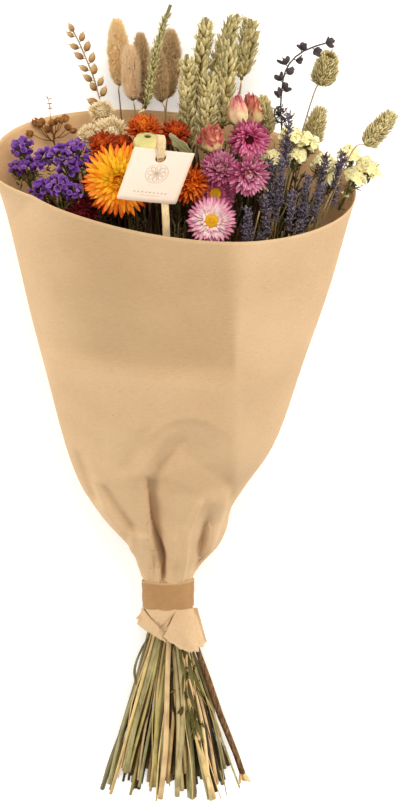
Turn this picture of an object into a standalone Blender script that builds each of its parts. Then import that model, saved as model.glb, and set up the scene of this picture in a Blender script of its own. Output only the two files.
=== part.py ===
"""A mixed dried-flower bouquet in a kraft paper sleeve, lying on its back on a table.

+Y runs from the cut stem ends to the flower tips, +X is the bouquet's right side and +Z is up from the table.
The tables are in millimetres, measured from the middle of the tie (along and across) and from the table (up);
MM turns them into metres. The last step moves the whole bouquet so that the origin lies under its middle.
"""

import math
import random

import bmesh
import bpy
from mathutils import Matrix, Vector

MM = 0.001
GAP = 0.35  # clear space left between pieces that touch
TIE_UP = 26.0  # height of the middle of the tie above the table

# The paper sleeve: one row per station along the bouquet, from the ragged skirt to the nominal rim.
# (along, centre across, half width, underside, top side)
PAPER = 0.8
SLEEVE_STATIONS = (
    (-42, 0.5, 26.5, 4.0, 48.0),
    (-26, 0.2, 21.5, 8.0, 44.0),
    (-13, 0.0, 18.3, 10.2, 41.8),
    (0, 0.0, 18.2, 10.3, 41.7),
    (13, 0.0, 18.3, 10.2, 41.8),
    (25, 1.5, 22.5, 8.6, 46.0),
    (38, 4.5, 29.5, 6.0, 53.0),
    (52, 2.0, 38.0, 4.0, 60.0),
    (70, -3.0, 47.5, 2.4, 68.0),
    (92, -3.0, 59.5, 1.4, 78.0),
    (135, 0.6, 76.4, 0.0, 93.0),
    (190, 3.4, 90.8, 0.0, 106.0),
    (260, 5.6, 107.9, 0.6, 120.0),
    (330, 7.0, 123.5, 2.4, 132.0),
)
SLEEVE_AROUND = 36
STRIP_STATIONS = (236.0, 284.0)  # rows of the sleeve that the card's strip lies against
RIM_ALONG = 328.0
RIM_FRONT_DROP = 26.0  # the front edge ends this much lower than the middle of the rim, the back as much higher
RIM_SIDE_DROP = 13.0  # and the right end this much lower than the left
SKIRT_ALONG = -34.0
SKIRT_SIDE_DROP = 9.0
FLAT_STATIONS = (145.0, 236.0)  # the flat spot that the sleeve rests on lies between these rows
FLAT_PRESS = 1.7  # how far the weight presses the underside flat there
PLEATS = 7
PLEAT_DEPTH = 2.6

# The tie: a paper band round the sleeve, over twine round the stems.
BAND_WIDTH = 24.0
BAND_THICK = 0.9
BAND_INNER = (18.65, 16.15)
BINDING_INNER = (15.3, 12.7)
TWINE = 1.7
TWINE_TURNS = 2

# The bunch of stems. It leaves room at its right side for the woody stem.
CORE_ACROSS = -1.4
CORE_HALF = (12.2, 11.2)
CORE_LENGTH = 36.0
SLOT_HALF = (11.2, 10.3)
SLOT_STRAY = 0.4
STEM_THICK = 2.0
STEM_THIN = 1.3
TAIL_ALONG = -157.0
TAIL_JITTER = 14.0
TAIL_MIDDLE = (-11.0, 20.0)  # across and up
TAIL_SPREAD = (5.0, 1.9)
TAIL_TWIST = 0.30
TABLE_CLEAR = 2.4
WOODY_ROUTE = ((58, -154, 13), (44, -120, 17), (31, -80, 21), (13.2, -16, 26), (13.2, 16, 26))
WOODY_THICK = 4.4
ON_WOODY_STEM = "cream_statice_2"
OPENING_HALF = (118.0, 62.0)  # half width and half height of the opening that the slots map from
ELBOW = 24.0

# Spikes: kind, foot and tip (across, along, up), width, sideways bow.
SPIKES = {
    "wheat_ear_1": ("wheat", (-12, 371, 64), (4, 445, 72), 9.0, 3.0),
    "wheat_ear_2": ("wheat", (20, 364, 50), (28, 435, 55), 13.0, 0.0),
    "wheat_ear_3": ("wheat", (33, 381, 34), (49, 432, 38), 11.0, 2.0),
    "wheat_ear_4": ("wheat", (52, 383, 28), (58, 427, 30), 13.0, 0.0),
    "wheat_ear_5": ("wheat", (38, 354, 54), (43, 424, 56), 13.5, 0.0),
    "wheat_ear_6": ("wheat", (15, 344, 66), (15, 414, 70), 12.5, 0.0),
    "wheat_ear_7": ("wheat", (27, 342, 72), (30, 402, 75), 12.5, 0.0),
    "bunny_tail_1": ("tail", (-32, 378, 26), (-33, 428, 30), 14.0, 0.0),
    "bunny_tail_2": ("tail", (-22, 372, 43), (-25, 413, 45), 12.0, 0.0),
    "bunny_tail_3": ("tail", (-16, 366, 27), (-17, 420, 31), 11.0, 0.0),
    "bunny_tail_4": ("tail", (1, 370, 26), (4, 421, 29), 15.0, 0.0),
    "bunny_tail_5": ("tail", (-2, 372, 46), (-7, 411, 50), 11.5, 0.0),
    "canary_grass_1": ("canary", (105, 385, 48), (111, 409, 56), 16.0, 0.0),
    "canary_grass_2": ("canary", (99, 340, 32), (107, 367, 36), 14.5, 0.0),
    "canary_grass_3": ("canary", (133, 356, 98), (153, 381, 102), 14.5, 0.0),
    "canary_grass_4": ("canary", (70, 350, 48), (65, 379, 50), 11.0, 0.0),
    "rose_1": ("rose", (49, 363, 73), (48, 384, 77), 14.0, 0.0),
    "rose_2": ("rose", (60, 358, 57), (57, 381, 63), 13.0, 0.0),
    "rose_3": ("rose", (32, 350, 87), (30, 366, 92), 16.0, 0.0),
}

# Round blooms: kind, back of the bloom (across, along, up), direction it faces, radius.
BLOOMS = {
    "strawflower_1": ("straw_large", (-30, 334, 104), (-0.12, 0.15, 0.98), 24.0),
    "strawflower_2": ("straw", (-14, 362, 86), (-0.05, 0.85, 0.50), 12.0),
    "strawflower_3": ("straw", (6, 357, 80), (0.10, 0.80, 0.58), 12.0),
    "strawflower_4": ("straw", (-41, 350, 80), (-0.20, 0.65, 0.75), 9.0),
    "strawflower_5": ("straw", (-29, 352, 84), (0.00, 0.70, 0.70), 6.5),
    "strawflower_6": ("straw", (16, 330, 100), (0.20, 0.15, 0.97), 11.5),
    "strawflower_7": ("straw", (-54, 310, 97), (-0.30, 0.05, 0.95), 10.5),
    "daisy_1": ("daisy", (31, 307, 110), (0.00, 0.30, 0.95), 15.5),
    "daisy_2": ("daisy", (56, 358, 86), (0.05, -0.10, 0.99), 13.5),
    "daisy_3": ("daisy", (37, 339, 98), (-0.05, 0.60, 0.80), 12.5),
    "daisy_4": ("daisy", (55, 338, 104), (0.20, -0.05, 0.97), 14.0),
    "daisy_5": ("daisy", (33, 322, 92), (0.10, 0.10, 0.98), 13.5),
    "white_bud_1": ("bud", (-36, 353, 64), (-0.05, 0.60, 0.80), 8.5),
    "white_bud_2": ("bud", (-43, 363, 46), (-0.10, 0.70, 0.70), 6.5),
    "white_bud_3": ("bud", (-50, 352, 64), (-0.25, 0.60, 0.75), 6.0),
}

DISC_LARGE = (3.9, 1.8)  # radius and height of an open daisy's yellow disc
DISC_SMALL = (3.2, 1.6)

# Statice: centres of the crowded heads (across, along, up, radius); each spray is one piece with its forked stem.
STATICE = {
    "purple_statice_1": (
        (-71, 345, 80, 8.5),
        (-59, 346, 75, 8.5),
        (-82, 340, 74, 8.0),
        (-65, 337, 86, 8.0),
        (-53, 338, 80, 7.5),
    ),
    "purple_statice_2": ((-72, 327, 95, 8.5), (-83, 323, 88, 8.0), (-62, 324, 98, 7.0)),
    "purple_statice_3": ((-97, 344, 60, 8.0), (-92, 333, 68, 7.5), (-101, 330, 64, 6.5)),
    "cream_statice_1": ((84, 356, 76, 7.5), (95, 350, 72, 8.0), (88, 342, 76, 7.0)),
    "cream_statice_2": ((124, 341, 72, 7.5), (136, 333, 74, 8.0), (128, 328, 78, 7.0)),
    "cream_statice_3": ((107, 333, 62, 7.5), (111, 322, 62, 7.0)),
    "cream_statice_4": ((72, 340, 76, 6.5),),
}

STATICE_FORK = (22.0, 34.0)  # how far behind the heads the fork stands, and the foot of its stem
STATICE_STEM = (1.8, 2.2)  # thickness above and below the fork

# Lavender: each bunch is a few spikes (foot, tip) whose thin stems meet at one root.
LAVENDER_WIDTH = 7.5
LAVENDER_ROOT = (46.0, 54.0)  # how far behind the spikes their stems meet, and the foot below that
LAVENDER_STEM = (1.5, 2.6)
LAVENDER = {
    "lavender_1": (
        ((80, 329, 88), (83, 384, 94)),
        ((72, 307, 90), (69, 353, 94)),
        ((77, 309, 104), (77, 362, 108)),
    ),
    "lavender_2": (
        ((103, 315, 84), (108, 350, 88)),
        ((112, 318, 84), (120, 352, 90)),
        ((97, 297, 96), (105, 334, 100)),
    ),
    "lavender_3": (
        ((90, 301, 98), (96, 341, 102)),
        ((83, 294, 107), (85, 332, 111)),
    ),
    "lavender_4": (
        ((69, 292, 110), (65, 329, 113)),
        ((57, 290, 113), (54, 322, 116)),
    ),
}

# Fine sprays: the stalk's route, then the pods' length, width and number.
SPRAYS = {
    "flax_spray": (
        ((-42, 360, 34), (-47, 382, 36), (-53, 398, 38), (-60, 414, 40)),
        (9.5, 6.0, 11),
    ),
    "dark_spray": (
        ((79, 351, 54), (78, 383, 56), (80, 401, 58), (87, 413, 60), (105, 416, 62)),
        (8.0, 5.0, 7),
    ),
    "berry_sprig": (
        ((-76, 332, 26), (-77, 344, 29), (-79, 354, 32), (-80, 366, 34)),
        (6.5, 6.0, 7),
    ),
}
STALK_THICK = (1.7, 1.2)  # at its foot and its tip
SEED_POD = ((-11, 345, 85), (0.0, 0.40, 0.92), 7.0)
LEAF = ((8, 343, 88), (-4, 358, 96), 8.0, 1.2)

# The card and the paper strip that carries it.
CARD_SIDE = 42.0
CARD_THICK = 0.8
CARD_TOP_LEFT = (-19.0, 367.0, 145.0)
CARD_ACROSS = (0.924, -0.190, -0.332)
CARD_DOWN = (-0.317, -0.902, -0.293)
CARD_HOLE = 3.6
CARD_HOLE_DOWN = 6.5
CARD_HOLE_ACROSS = 20.0
STRIP_HALF = 2.6
STRIP_SHARE = 0.35  # where it lies across the sleeve's front facet
STRIP_THICK = 0.8

COLOURS = {
    "kraft": (0.60, 0.40, 0.21),
    "band": (0.47, 0.27, 0.12),
    "twine": (0.45, 0.33, 0.17),
    "card": (0.90, 0.82, 0.70),
    "strip": (0.76, 0.62, 0.38),
    "straw_stem": (0.45, 0.38, 0.16),
    "woody": (0.16, 0.10, 0.04),
    "leaf": (0.28, 0.34, 0.18),
    "wheat": (0.47, 0.43, 0.20),
    "tail": (0.60, 0.42, 0.21),
    "canary": (0.52, 0.45, 0.21),
    "rose": (0.62, 0.20, 0.17),
    "straw_large": (0.85, 0.28, 0.02),
    "straw": (0.62, 0.10, 0.01),
    "daisy": (0.66, 0.17, 0.36),
    "disc": (0.80, 0.55, 0.02),
    "bud": (0.80, 0.72, 0.52),
    "purple": (0.10, 0.04, 0.34),
    "cream": (0.83, 0.78, 0.42),
    "lavender": (0.11, 0.10, 0.20),
    "flax": (0.48, 0.38, 0.19),
    "dark": (0.07, 0.05, 0.04),
    "berry": (0.33, 0.13, 0.04),
    "pod": (0.36, 0.38, 0.14),
}


def clear_scene():
    for thing in list(bpy.data.objects):
        bpy.data.objects.remove(thing, do_unlink=True)


def material(name):
    found = bpy.data.materials.get(name)
    if found:
        return found
    made = bpy.data.materials.new(name)
    made.use_nodes = True
    shader = made.node_tree.nodes["Principled BSDF"]
    shader.inputs["Base Color"].default_value = (*COLOURS[name], 1.0)
    shader.inputs["Roughness"].default_value = 0.8
    return made


def add_object(name, bm, colour, collection):
    """An object from a bmesh in millimetres, placed in metres."""
    bmesh.ops.recalc_face_normals(bm, faces=bm.faces)
    mesh = bpy.data.meshes.new(name)
    bm.to_mesh(mesh)
    bm.free()
    mesh.transform(Matrix.Scale(MM, 4))
    mesh.materials.append(material(colour))
    thing = bpy.data.objects.new(name, mesh)
    collection.objects.link(thing)
    return thing


def turn_to(axis, origin):
    """The matrix that takes +Z to axis and the origin to a point."""
    turn = Vector((0, 0, 1)).rotation_difference(Vector(axis)).to_matrix().to_4x4()
    return Matrix.Translation(Vector(origin)) @ turn


def shaped_ball(around, rows, shape):
    """A ball whose points move where shape(column, row) says. Row 0 is the foot and row `rows` the tip."""
    bm = bmesh.new()
    bmesh.ops.create_uvsphere(bm, u_segments=around, v_segments=rows, radius=1.0)
    for vert in bm.verts:
        row = round((1 - math.acos(max(-1.0, min(1.0, vert.co.z))) / math.pi) * rows)
        angle = math.atan2(vert.co.y, vert.co.x) if 0 < row < rows else 0.0
        column = round(angle / math.tau * around) % around
        radius, height = shape(column, row)
        turn = math.tau * column / around
        vert.co = (radius * math.cos(turn), radius * math.sin(turn), height)
    return bm


def spike_shape(kind, length, width, rows):
    """Radius and height of a spike whose scales, bristles or buds are every second point, drawn out and up."""
    sink, lift, blunt = {
        "wheat": (0.52, 0.085, 0.45),
        "tail": (0.80, 0.050, 0.40),
        "canary": (0.74, 0.090, 0.48),
        "lavender": (0.42, 0.030, 0.25),
    }[kind]

    def shape(column, row):
        share = row / rows
        swell = max(0.0, math.sin(math.pi * share ** (0.8 if kind != "canary" else 0.65))) ** blunt
        if row in (0, rows):
            return 0.0, length * share
        raised = (column + row) % 2 == 0
        if kind == "lavender":
            raised = row % 2 == 0 and column % 2 == (row // 2) % 2
        radius = width / 2 * swell * (1.0 if raised else sink)
        rise = lift * length * (1 - 0.6 * share) if raised and row < rows - 1 else 0.0
        return max(radius, 0.7), length * share + rise

    return shape


SPIKE_GRID = {"wheat": (6, 15), "tail": (8, 9), "canary": (8, 8), "lavender": (6, 9)}


def bow_of(foot, tip, bow):
    """A function that bends a spike sideways, most at its middle."""
    axis = tip - foot
    side = axis.cross(Vector((0, 0, 1))).normalized()

    def bend(point):
        share = (point - foot).dot(axis) / axis.length_squared
        return point - side * bow * 4 * share * (1 - share)

    return bend


def spike(name, kind, foot, tip, width, bow, collection):
    foot, tip = Vector(foot), Vector(tip)
    around, rows = SPIKE_GRID[kind]
    length = (tip - foot).length
    bm = shaped_ball(around, rows, spike_shape(kind, length, width, rows))
    bmesh.ops.transform(bm, matrix=turn_to(tip - foot, foot), verts=bm.verts)
    bend = bow_of(foot, tip, bow)
    for vert in bm.verts:
        vert.co = bend(vert.co)
    return add_object(name, bm, kind, collection)


# Rings of a bloom from its back to its middle: (radius of the petal tips, of the notches, height), in radii.
# A ring whose tips and notches differ is the edge of one layer of petals.
BLOOM_RINGS = {
    "straw_large": (
        (0.16, 0.16, 0.02),
        (0.44, 0.44, 0.10),
        (1.00, 0.76, 0.28),
        (0.50, 0.50, 0.22),
        (0.88, 0.66, 0.50),
        (0.40, 0.40, 0.32),
        (0.68, 0.50, 0.62),
        (0.28, 0.28, 0.40),
        (0.42, 0.30, 0.62),
        (0.14, 0.14, 0.46),
    ),
    "straw": (
        (0.30, 0.30, 0.10),
        (0.66, 0.66, 0.38),
        (1.00, 0.74, 0.82),
        (0.50, 0.50, 0.56),
        (0.70, 0.48, 1.02),
        (0.20, 0.20, 0.72),
    ),
    "daisy": (
        (0.18, 0.18, 0.04),
        (0.34, 0.34, 0.18),
        (1.00, 0.74, 0.42),
        (0.40, 0.40, 0.32),
        (0.76, 0.56, 0.56),
        (0.26, 0.26, 0.36),
    ),
    "bud": (
        (0.45, 0.45, 0.12),
        (0.92, 0.86, 0.50),
        (1.00, 0.80, 1.00),
        (0.70, 0.62, 1.22),
        (0.66, 0.40, 1.52),
        (0.24, 0.24, 1.30),
    ),
    "rose": (
        (0.45, 0.45, 0.10),
        (0.95, 0.80, 0.38),
        (0.98, 0.72, 0.72),
        (0.88, 0.62, 0.98),
        (0.50, 0.50, 0.74),
        (0.58, 0.36, 1.00),
        (0.20, 0.20, 0.82),
    ),
}
BLOOM_PETALS = {"straw_large": 18, "straw": 9, "daisy": 16, "bud": 6, "rose": 5}


def bloom_mesh(kind, radius, height):
    """A bloom: each layer's petals are points of one pleated ring, and the next layer's stand between them."""
    rings = BLOOM_RINGS[kind]
    rows = len(rings) + 1

    def shape(column, row):
        if row == 0:
            return 0.0, 0.0
        if row == rows:
            return 0.0, height * rings[-1][2]
        tip, notch, up = rings[row - 1]
        is_tip = (column + row // 2) % 2 == 0
        return radius * (tip if is_tip else notch), height * up

    return shaped_ball(2 * BLOOM_PETALS[kind], rows, shape)


def bloom(name, kind, back, facing, radius, collection):
    height = radius if kind in ("straw_large", "straw", "daisy") else radius * 1.15
    bm = bloom_mesh(kind, radius, height)
    bmesh.ops.transform(bm, matrix=turn_to(facing, back), verts=bm.verts)
    return add_object(name, bm, kind, collection)


def rose(name, foot, tip, width, collection):
    foot, tip = Vector(foot), Vector(tip)
    bm = bloom_mesh("rose", width / 2, (tip - foot).length)
    bmesh.ops.transform(bm, matrix=turn_to(tip - foot, foot), verts=bm.verts)
    return add_object(name, bm, "rose", collection)


def disc(name, flower, radius, height, collection):
    """The domed yellow middle of an open bloom, seated just clear of its innermost petals."""
    kind, back, facing, bloom_radius = BLOOMS[flower]
    facing = Vector(facing).normalized()
    seat = Vector(back) + facing * (BLOOM_RINGS[kind][-1][2] * bloom_radius + GAP)
    bm = shaped_ball(
        10,
        4,
        lambda column, row: (
            radius * (0.0, 0.9, 1.0, 0.66, 0.0)[row],
            height * (0.0, 0.0, 0.35, 0.85, 1.0)[row],
        ),
    )
    bmesh.ops.transform(bm, matrix=turn_to(facing, seat), verts=bm.verts)
    return add_object(name, bm, "disc", collection)


def tube(name, route, thick, colour, collection, sides_step=0, end_thick=None):
    """A round stem along a route, as a mesh with its end caps welded."""
    curve = bpy.data.curves.new(name, "CURVE")
    curve.dimensions = "3D"
    curve.bevel_depth = MM
    curve.bevel_resolution = sides_step
    curve.use_fill_caps = True
    line = curve.splines.new("POLY")
    line.points.add(len(route) - 1)
    last = thick if end_thick is None else end_thick
    for index, point in enumerate(route):
        line.points[index].co = (*(Vector(point) * MM), 1.0)
        share = index / (len(route) - 1)
        line.points[index].radius = (thick * (1 - share) + last * share) / 2
    drawn = bpy.data.objects.new(name + "_line", curve)
    collection.objects.link(drawn)
    graph = bpy.context.evaluated_depsgraph_get()
    mesh = bpy.data.meshes.new_from_object(drawn.evaluated_get(graph))
    bpy.data.objects.remove(drawn, do_unlink=True)
    bm = bmesh.new()
    bm.from_mesh(mesh)
    bmesh.ops.remove_doubles(bm, verts=bm.verts, dist=1e-6)
    bmesh.ops.recalc_face_normals(bm, faces=bm.faces)
    bm.to_mesh(mesh)
    bm.free()
    mesh.name = name
    mesh.materials.clear()
    mesh.materials.append(material(colour))
    made = bpy.data.objects.new(name, mesh)
    collection.objects.link(made)
    return made


def keep_main_body(mesh):
    """Fills the small hollows that a union seals among crowded stems, by dropping their walls."""
    bm = bmesh.new()
    bm.from_mesh(mesh)
    left = set(bm.faces)
    bodies = []
    while left:
        front = [left.pop()]
        body = list(front)
        while front:
            for edge in front.pop().edges:
                for face in edge.link_faces:
                    if face in left:
                        left.remove(face)
                        body.append(face)
                        front.append(face)
        bodies.append(body)
    bodies.sort(key=len)
    scraps = [face for body in bodies[:-1] for face in body]
    bmesh.ops.delete(bm, geom=scraps, context="FACES")
    bm.to_mesh(mesh)
    bm.free()


def fuse(pieces, name):
    """One body from pieces that overlap: a Boolean union on a collection, applied."""
    first, rest = pieces[0], pieces[1:]
    group = bpy.data.collections.new(name + "_pieces")
    bpy.context.scene.collection.children.link(group)
    for piece in rest:
        group.objects.link(piece)
    join = first.modifiers.new("join", "BOOLEAN")
    join.operation = "UNION"
    join.operand_type = "COLLECTION"
    join.collection = group
    join.solver = "MANIFOLD"
    graph = bpy.context.evaluated_depsgraph_get()
    mesh = bpy.data.meshes.new_from_object(first.evaluated_get(graph))
    keep_main_body(mesh)
    first.modifiers.clear()
    first.data = mesh
    for piece in rest:
        bpy.data.objects.remove(piece, do_unlink=True)
    bpy.data.collections.remove(group)
    first.name = name
    mesh.name = name
    return first


def statice(name, heads, collection):
    """Crowded papery heads on a forked stem. Gives its foot and the direction it grows in."""
    colour = name.split("_")[0]
    middle = sum((Vector(head[:3]) for head in heads), Vector()) / len(heads)
    fork, foot = (towards_tie(middle, reach) for reach in STATICE_FORK)
    thin, thick = STATICE_STEM
    pieces = [tube(name, (foot, fork), thick, colour, collection)]
    for index, (*centre, radius) in enumerate(heads):
        centre = Vector(centre)

        def shape(column, row, radius=radius):
            raised = (column + row) % 2 == 0
            turn = math.pi * row / 5
            reach = radius * (1.0 if raised and row > 1 else 0.74)
            return reach * math.sin(turn), -reach * 0.85 * math.cos(turn)

        bm = shaped_ball(8, 5, shape)
        outward = (centre - fork).normalized()
        bmesh.ops.transform(bm, matrix=turn_to(outward, centre), verts=bm.verts)
        pieces.append(add_object(f"{name}_head_{index}", bm, colour, collection))
        pieces.append(tube(f"{name}_fork_{index}", (fork, centre), thin, colour, collection))
    fuse(pieces, name)
    return foot, (middle - fork).normalized()


def lavender(name, spikes, collection):
    """A few spikes whose thin stems meet at one root. Gives its foot and the direction it grows in."""
    feet = [Vector(foot) for foot, _ in spikes]
    middle = sum(feet, Vector()) / len(feet)
    root, bottom = (towards_tie(middle, reach) for reach in LAVENDER_ROOT)
    thin, thick = LAVENDER_STEM
    pieces = [tube(name, (bottom, root.lerp(middle, 0.05)), thick, "lavender", collection)]
    for index, (foot, tip) in enumerate(spikes):
        piece = spike(f"{name}_spike_{index}", "lavender", foot, tip, LAVENDER_WIDTH, 0.0, collection)
        into = Vector(foot) + (Vector(tip) - Vector(foot)) * 0.12
        pieces.append(piece)
        pieces.append(tube(f"{name}_stem_{index}", (root, foot, into), thin, "lavender", collection))
    fuse(pieces, name)
    return bottom, (middle - root).normalized()


def along_route(route, share):
    """The point at a share of a route's length, and the direction there."""
    points = [Vector(point) for point in route]
    lengths = [(b - a).length for a, b in zip(points, points[1:])]
    left = share * sum(lengths)
    for start, end, length in zip(points, points[1:], lengths):
        if left <= length or end is points[-1]:
            return start.lerp(end, min(1.0, left / length)), (end - start).normalized()
        left -= length


POD_PROFILE = ((0.0, -0.06), (0.42, 0.24), (0.46, 0.62), (0.0, 1.0))


def spray(name, route, pods, collection):
    """A fine stalk with pods held out to each side in turn, and one at its tip."""
    pod_length, pod_width, count = pods
    colour = name.split("_")[0]
    thick, thin = STALK_THICK
    pieces = [tube(name, route, thick, colour, collection, end_thick=thin)]
    for index in range(count):
        point, ahead = along_route(route, 0.22 + 0.78 * index / (count - 1))
        side = ahead.cross(Vector((0, 0, 1))).normalized() * (1 if index % 2 else -1)
        lean = ahead if index == count - 1 else (ahead + side * 0.9).normalized()
        bm = shaped_ball(4, 3, lambda column, row: POD_PROFILE[row])
        size = Matrix.Diagonal((pod_width, pod_width, pod_length, 1.0))
        bmesh.ops.transform(bm, matrix=turn_to(lean, point) @ size, verts=bm.verts)
        pieces.append(add_object(f"{name}_pod_{index}", bm, colour, collection))
    return fuse(pieces, name)


def pod(collection):
    """A ribbed seed capsule with a flat crown."""
    foot, facing, radius = SEED_POD
    rings = ((0.55, 0.10), (1.00, 0.75), (0.80, 1.35), (0.95, 1.55), (0.40, 1.62))

    def shape(column, row):
        if row in (0, len(rings) + 1):
            return 0.0, radius * (0.0 if row == 0 else 1.58)
        reach, up = rings[row - 1]
        return radius * reach * (1.0 if column % 2 else 0.86), radius * up

    bm = shaped_ball(14, len(rings) + 1, shape)
    bmesh.ops.transform(bm, matrix=turn_to(facing, foot), verts=bm.verts)
    return add_object("seed_pod", bm, "pod", collection)


def leaf(collection):
    """A small blade, widest below its middle, with a raised midrib."""
    foot, tip, width, thick = LEAF
    foot, tip = Vector(foot), Vector(tip)
    rows = 6

    def shape(column, row):
        share = row / rows
        across = width / 2 * math.sin(math.pi * share**0.7) if 0 < row < rows else 0.0
        return across, (tip - foot).length * share

    bm = shaped_ball(4, rows, shape)
    for vert in bm.verts:
        vert.co.y *= thick / width
    bmesh.ops.transform(bm, matrix=turn_to(tip - foot, foot), verts=bm.verts)
    return add_object("leaf", bm, "leaf", collection)


def smooth_between(stations, along):
    """The stations' values at one place along, on a smooth curve through them."""
    for index in range(len(stations) - 1):
        low, high = stations[index], stations[index + 1]
        if along <= high[0]:
            break
    before = stations[max(index - 1, 0)]
    after = stations[min(index + 2, len(stations) - 1)]
    span = high[0] - low[0]
    share = (along - low[0]) / span
    found = []
    for k in range(1, len(low)):
        slope_low = (high[k] - before[k]) / (high[0] - before[0]) * span
        slope_high = (after[k] - low[k]) / (after[0] - low[0]) * span
        found.append(
            low[k] * (2 * share**3 - 3 * share**2 + 1)
            + slope_low * (share**3 - 2 * share**2 + share)
            + high[k] * (3 * share**2 - 2 * share**3)
            + slope_high * (share**3 - share**2)
        )
    return found


def rim_along(turn):
    return RIM_ALONG - RIM_FRONT_DROP * math.sin(turn) - RIM_SIDE_DROP * math.cos(turn)


def skirt_along(turn):
    return SKIRT_ALONG - SKIRT_SIDE_DROP * math.cos(turn)


def sleeve_point(turn, station):
    """A point of the sleeve's outer side. Turn 0 is the right side, a quarter turn the front, on top."""
    along = station
    if station > 92:
        share = (station - 92) / (RIM_ALONG - 92)
        along = 92 + share * (rim_along(turn) - 92)
    if station < -13:
        share = (station + 13) / (SKIRT_ALONG + 13)
        along = -13 + share * (skirt_along(turn) + 13)
    centre, half, low, high = smooth_between(SLEEVE_STATIONS, station)
    middle, depth = (low + high) / 2, (high - low) / 2
    gather = math.exp(-(((station - 48) / 30) ** 2)) * min(1.0, max(0.0, (station - 14) / 14))
    pleat = 1 + PLEAT_DEPTH * gather * math.cos(PLEATS * turn + 0.8) / half
    across = centre + half * pleat * math.cos(turn)
    sine = math.sin(turn)
    if sine >= 0:
        up = middle + depth * pleat * sine
    else:
        slump = min(1.0, max(0.0, (station - 60) / 70))
        press = FLAT_PRESS if FLAT_STATIONS[0] <= station <= FLAT_STATIONS[1] else 0.0
        up = middle - (depth + press) * pleat * abs(sine) ** (1 - 0.15 * slump)
    return Vector((across, along, max(0.0, up)))


def sleeve(collection):
    """The kraft paper sleeve: an open tube of paper, given its thickness inwards."""
    stations = [SKIRT_ALONG, -23, -13, 13, 24, 36, 50, 68, 92, 115, 145, 190, *STRIP_STATIONS, RIM_ALONG]
    rows = len(stations) - 1
    bm = bmesh.new()
    bmesh.ops.create_grid(bm, x_segments=SLEEVE_AROUND, y_segments=rows, size=0.5)
    for vert in bm.verts:
        column = round((vert.co.x + 0.5) * SLEEVE_AROUND)
        row = round((vert.co.y + 0.5) * rows)
        vert.co = sleeve_point(math.tau * column / SLEEVE_AROUND, stations[row])
    bmesh.ops.remove_doubles(bm, verts=bm.verts, dist=1e-4)
    made = add_object("kraft_sleeve", bm, "kraft", collection)
    face_outwards(made, Vector((0, 150, 50)) * MM)
    wall = made.modifiers.new("paper", "SOLIDIFY")
    wall.thickness = PAPER * MM
    wall.offset = -1.0
    return made


def face_outwards(thing, inside):
    """Turns an open tube's faces away from a point inside it."""
    outward = sum(face.normal.dot(face.center - inside) * face.area for face in thing.data.polygons)
    if outward < 0:
        thing.data.flip_normals()


def ring(name, half_across, half_up, profile, colour, around, collection):
    """A closed elliptical ring round the tie: profile lists (along, outward) round its section."""
    bm = bmesh.new()
    count = len(profile)
    bmesh.ops.create_grid(bm, x_segments=around, y_segments=count, size=0.5)
    for vert in bm.verts:
        turn = math.tau * round((vert.co.x + 0.5) * around) / around
        along, out = profile[round((vert.co.y + 0.5) * count) % count]
        vert.co = (
            (half_across + out) * math.cos(turn),
            along,
            TIE_UP + (half_up + out) * math.sin(turn),
        )
    bmesh.ops.remove_doubles(bm, verts=bm.verts, dist=1e-4)
    return add_object(name, bm, colour, collection)


def band(collection):
    half = BAND_WIDTH / 2
    profile = ((-half, 0.0), (half, 0.0), (half, BAND_THICK), (-half, BAND_THICK))
    return ring("paper_band", *BAND_INNER, profile, "band", 24, collection)


def binding(collection):
    """Turns of twine side by side round the stems."""
    width = TWINE_TURNS * TWINE
    profile = [(-width / 2, 0.0), (width / 2, 0.0)]
    for turn in range(TWINE_TURNS):
        middle = width / 2 - (turn + 0.5) * TWINE
        profile += [(middle + TWINE * 0.32, TWINE), (middle - TWINE * 0.32, TWINE)]
        if turn < TWINE_TURNS - 1:
            profile.append((middle - TWINE * 0.5, TWINE * 0.6))
    return ring("binding_twine", *BINDING_INNER, profile, "twine", 14, collection)


def card_point(across, down, out=0.0):
    """A point of the card from its top left corner, and out of its face."""
    right = Vector(CARD_ACROSS).normalized()
    low = Vector(CARD_DOWN)
    low = (low - right * low.dot(right)).normalized()
    return Vector(CARD_TOP_LEFT) + right * across + low * down + low.cross(right) * out


def card(collection):
    """The square card: a flat outline with a punched hole."""
    curve = bpy.data.curves.new("card_outline", "CURVE")
    curve.dimensions = "2D"
    curve.fill_mode = "BOTH"
    curve.extrude = CARD_THICK / 2
    corners = ((0, 0), (1, 0), (1, 1), (0, 1))
    hole = [math.tau * k / 12 for k in range(12)]
    outlines = (
        [(CARD_SIDE * a, -CARD_SIDE * d) for a, d in corners],
        [
            (CARD_HOLE_ACROSS + CARD_HOLE * math.cos(t), -CARD_HOLE_DOWN + CARD_HOLE * math.sin(t))
            for t in hole
        ],
    )
    for outline in outlines:
        line = curve.splines.new("POLY")
        line.points.add(len(outline) - 1)
        line.use_cyclic_u = True
        for point, (x, y) in zip(line.points, outline):
            point.co = (x, y, 0.0, 1.0)
    drawn = bpy.data.objects.new("card_outline", curve)
    collection.objects.link(drawn)
    graph = bpy.context.evaluated_depsgraph_get()
    mesh = bpy.data.meshes.new_from_object(drawn.evaluated_get(graph))
    bpy.data.objects.remove(drawn, do_unlink=True)
    bm = bmesh.new()
    bm.from_mesh(mesh)
    bmesh.ops.remove_doubles(bm, verts=bm.verts, dist=1e-4)
    right = card_point(1, 0) - card_point(0, 0)
    down = card_point(0, 1) - card_point(0, 0)
    out = card_point(0, 0, 1) - card_point(0, 0)
    turn = Matrix((right, -down, out)).transposed().to_4x4()
    place = Matrix.Translation(card_point(0, 0)) @ turn
    bmesh.ops.transform(bm, matrix=place, verts=bm.verts)
    return add_object("card", bm, "card", collection)


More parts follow.
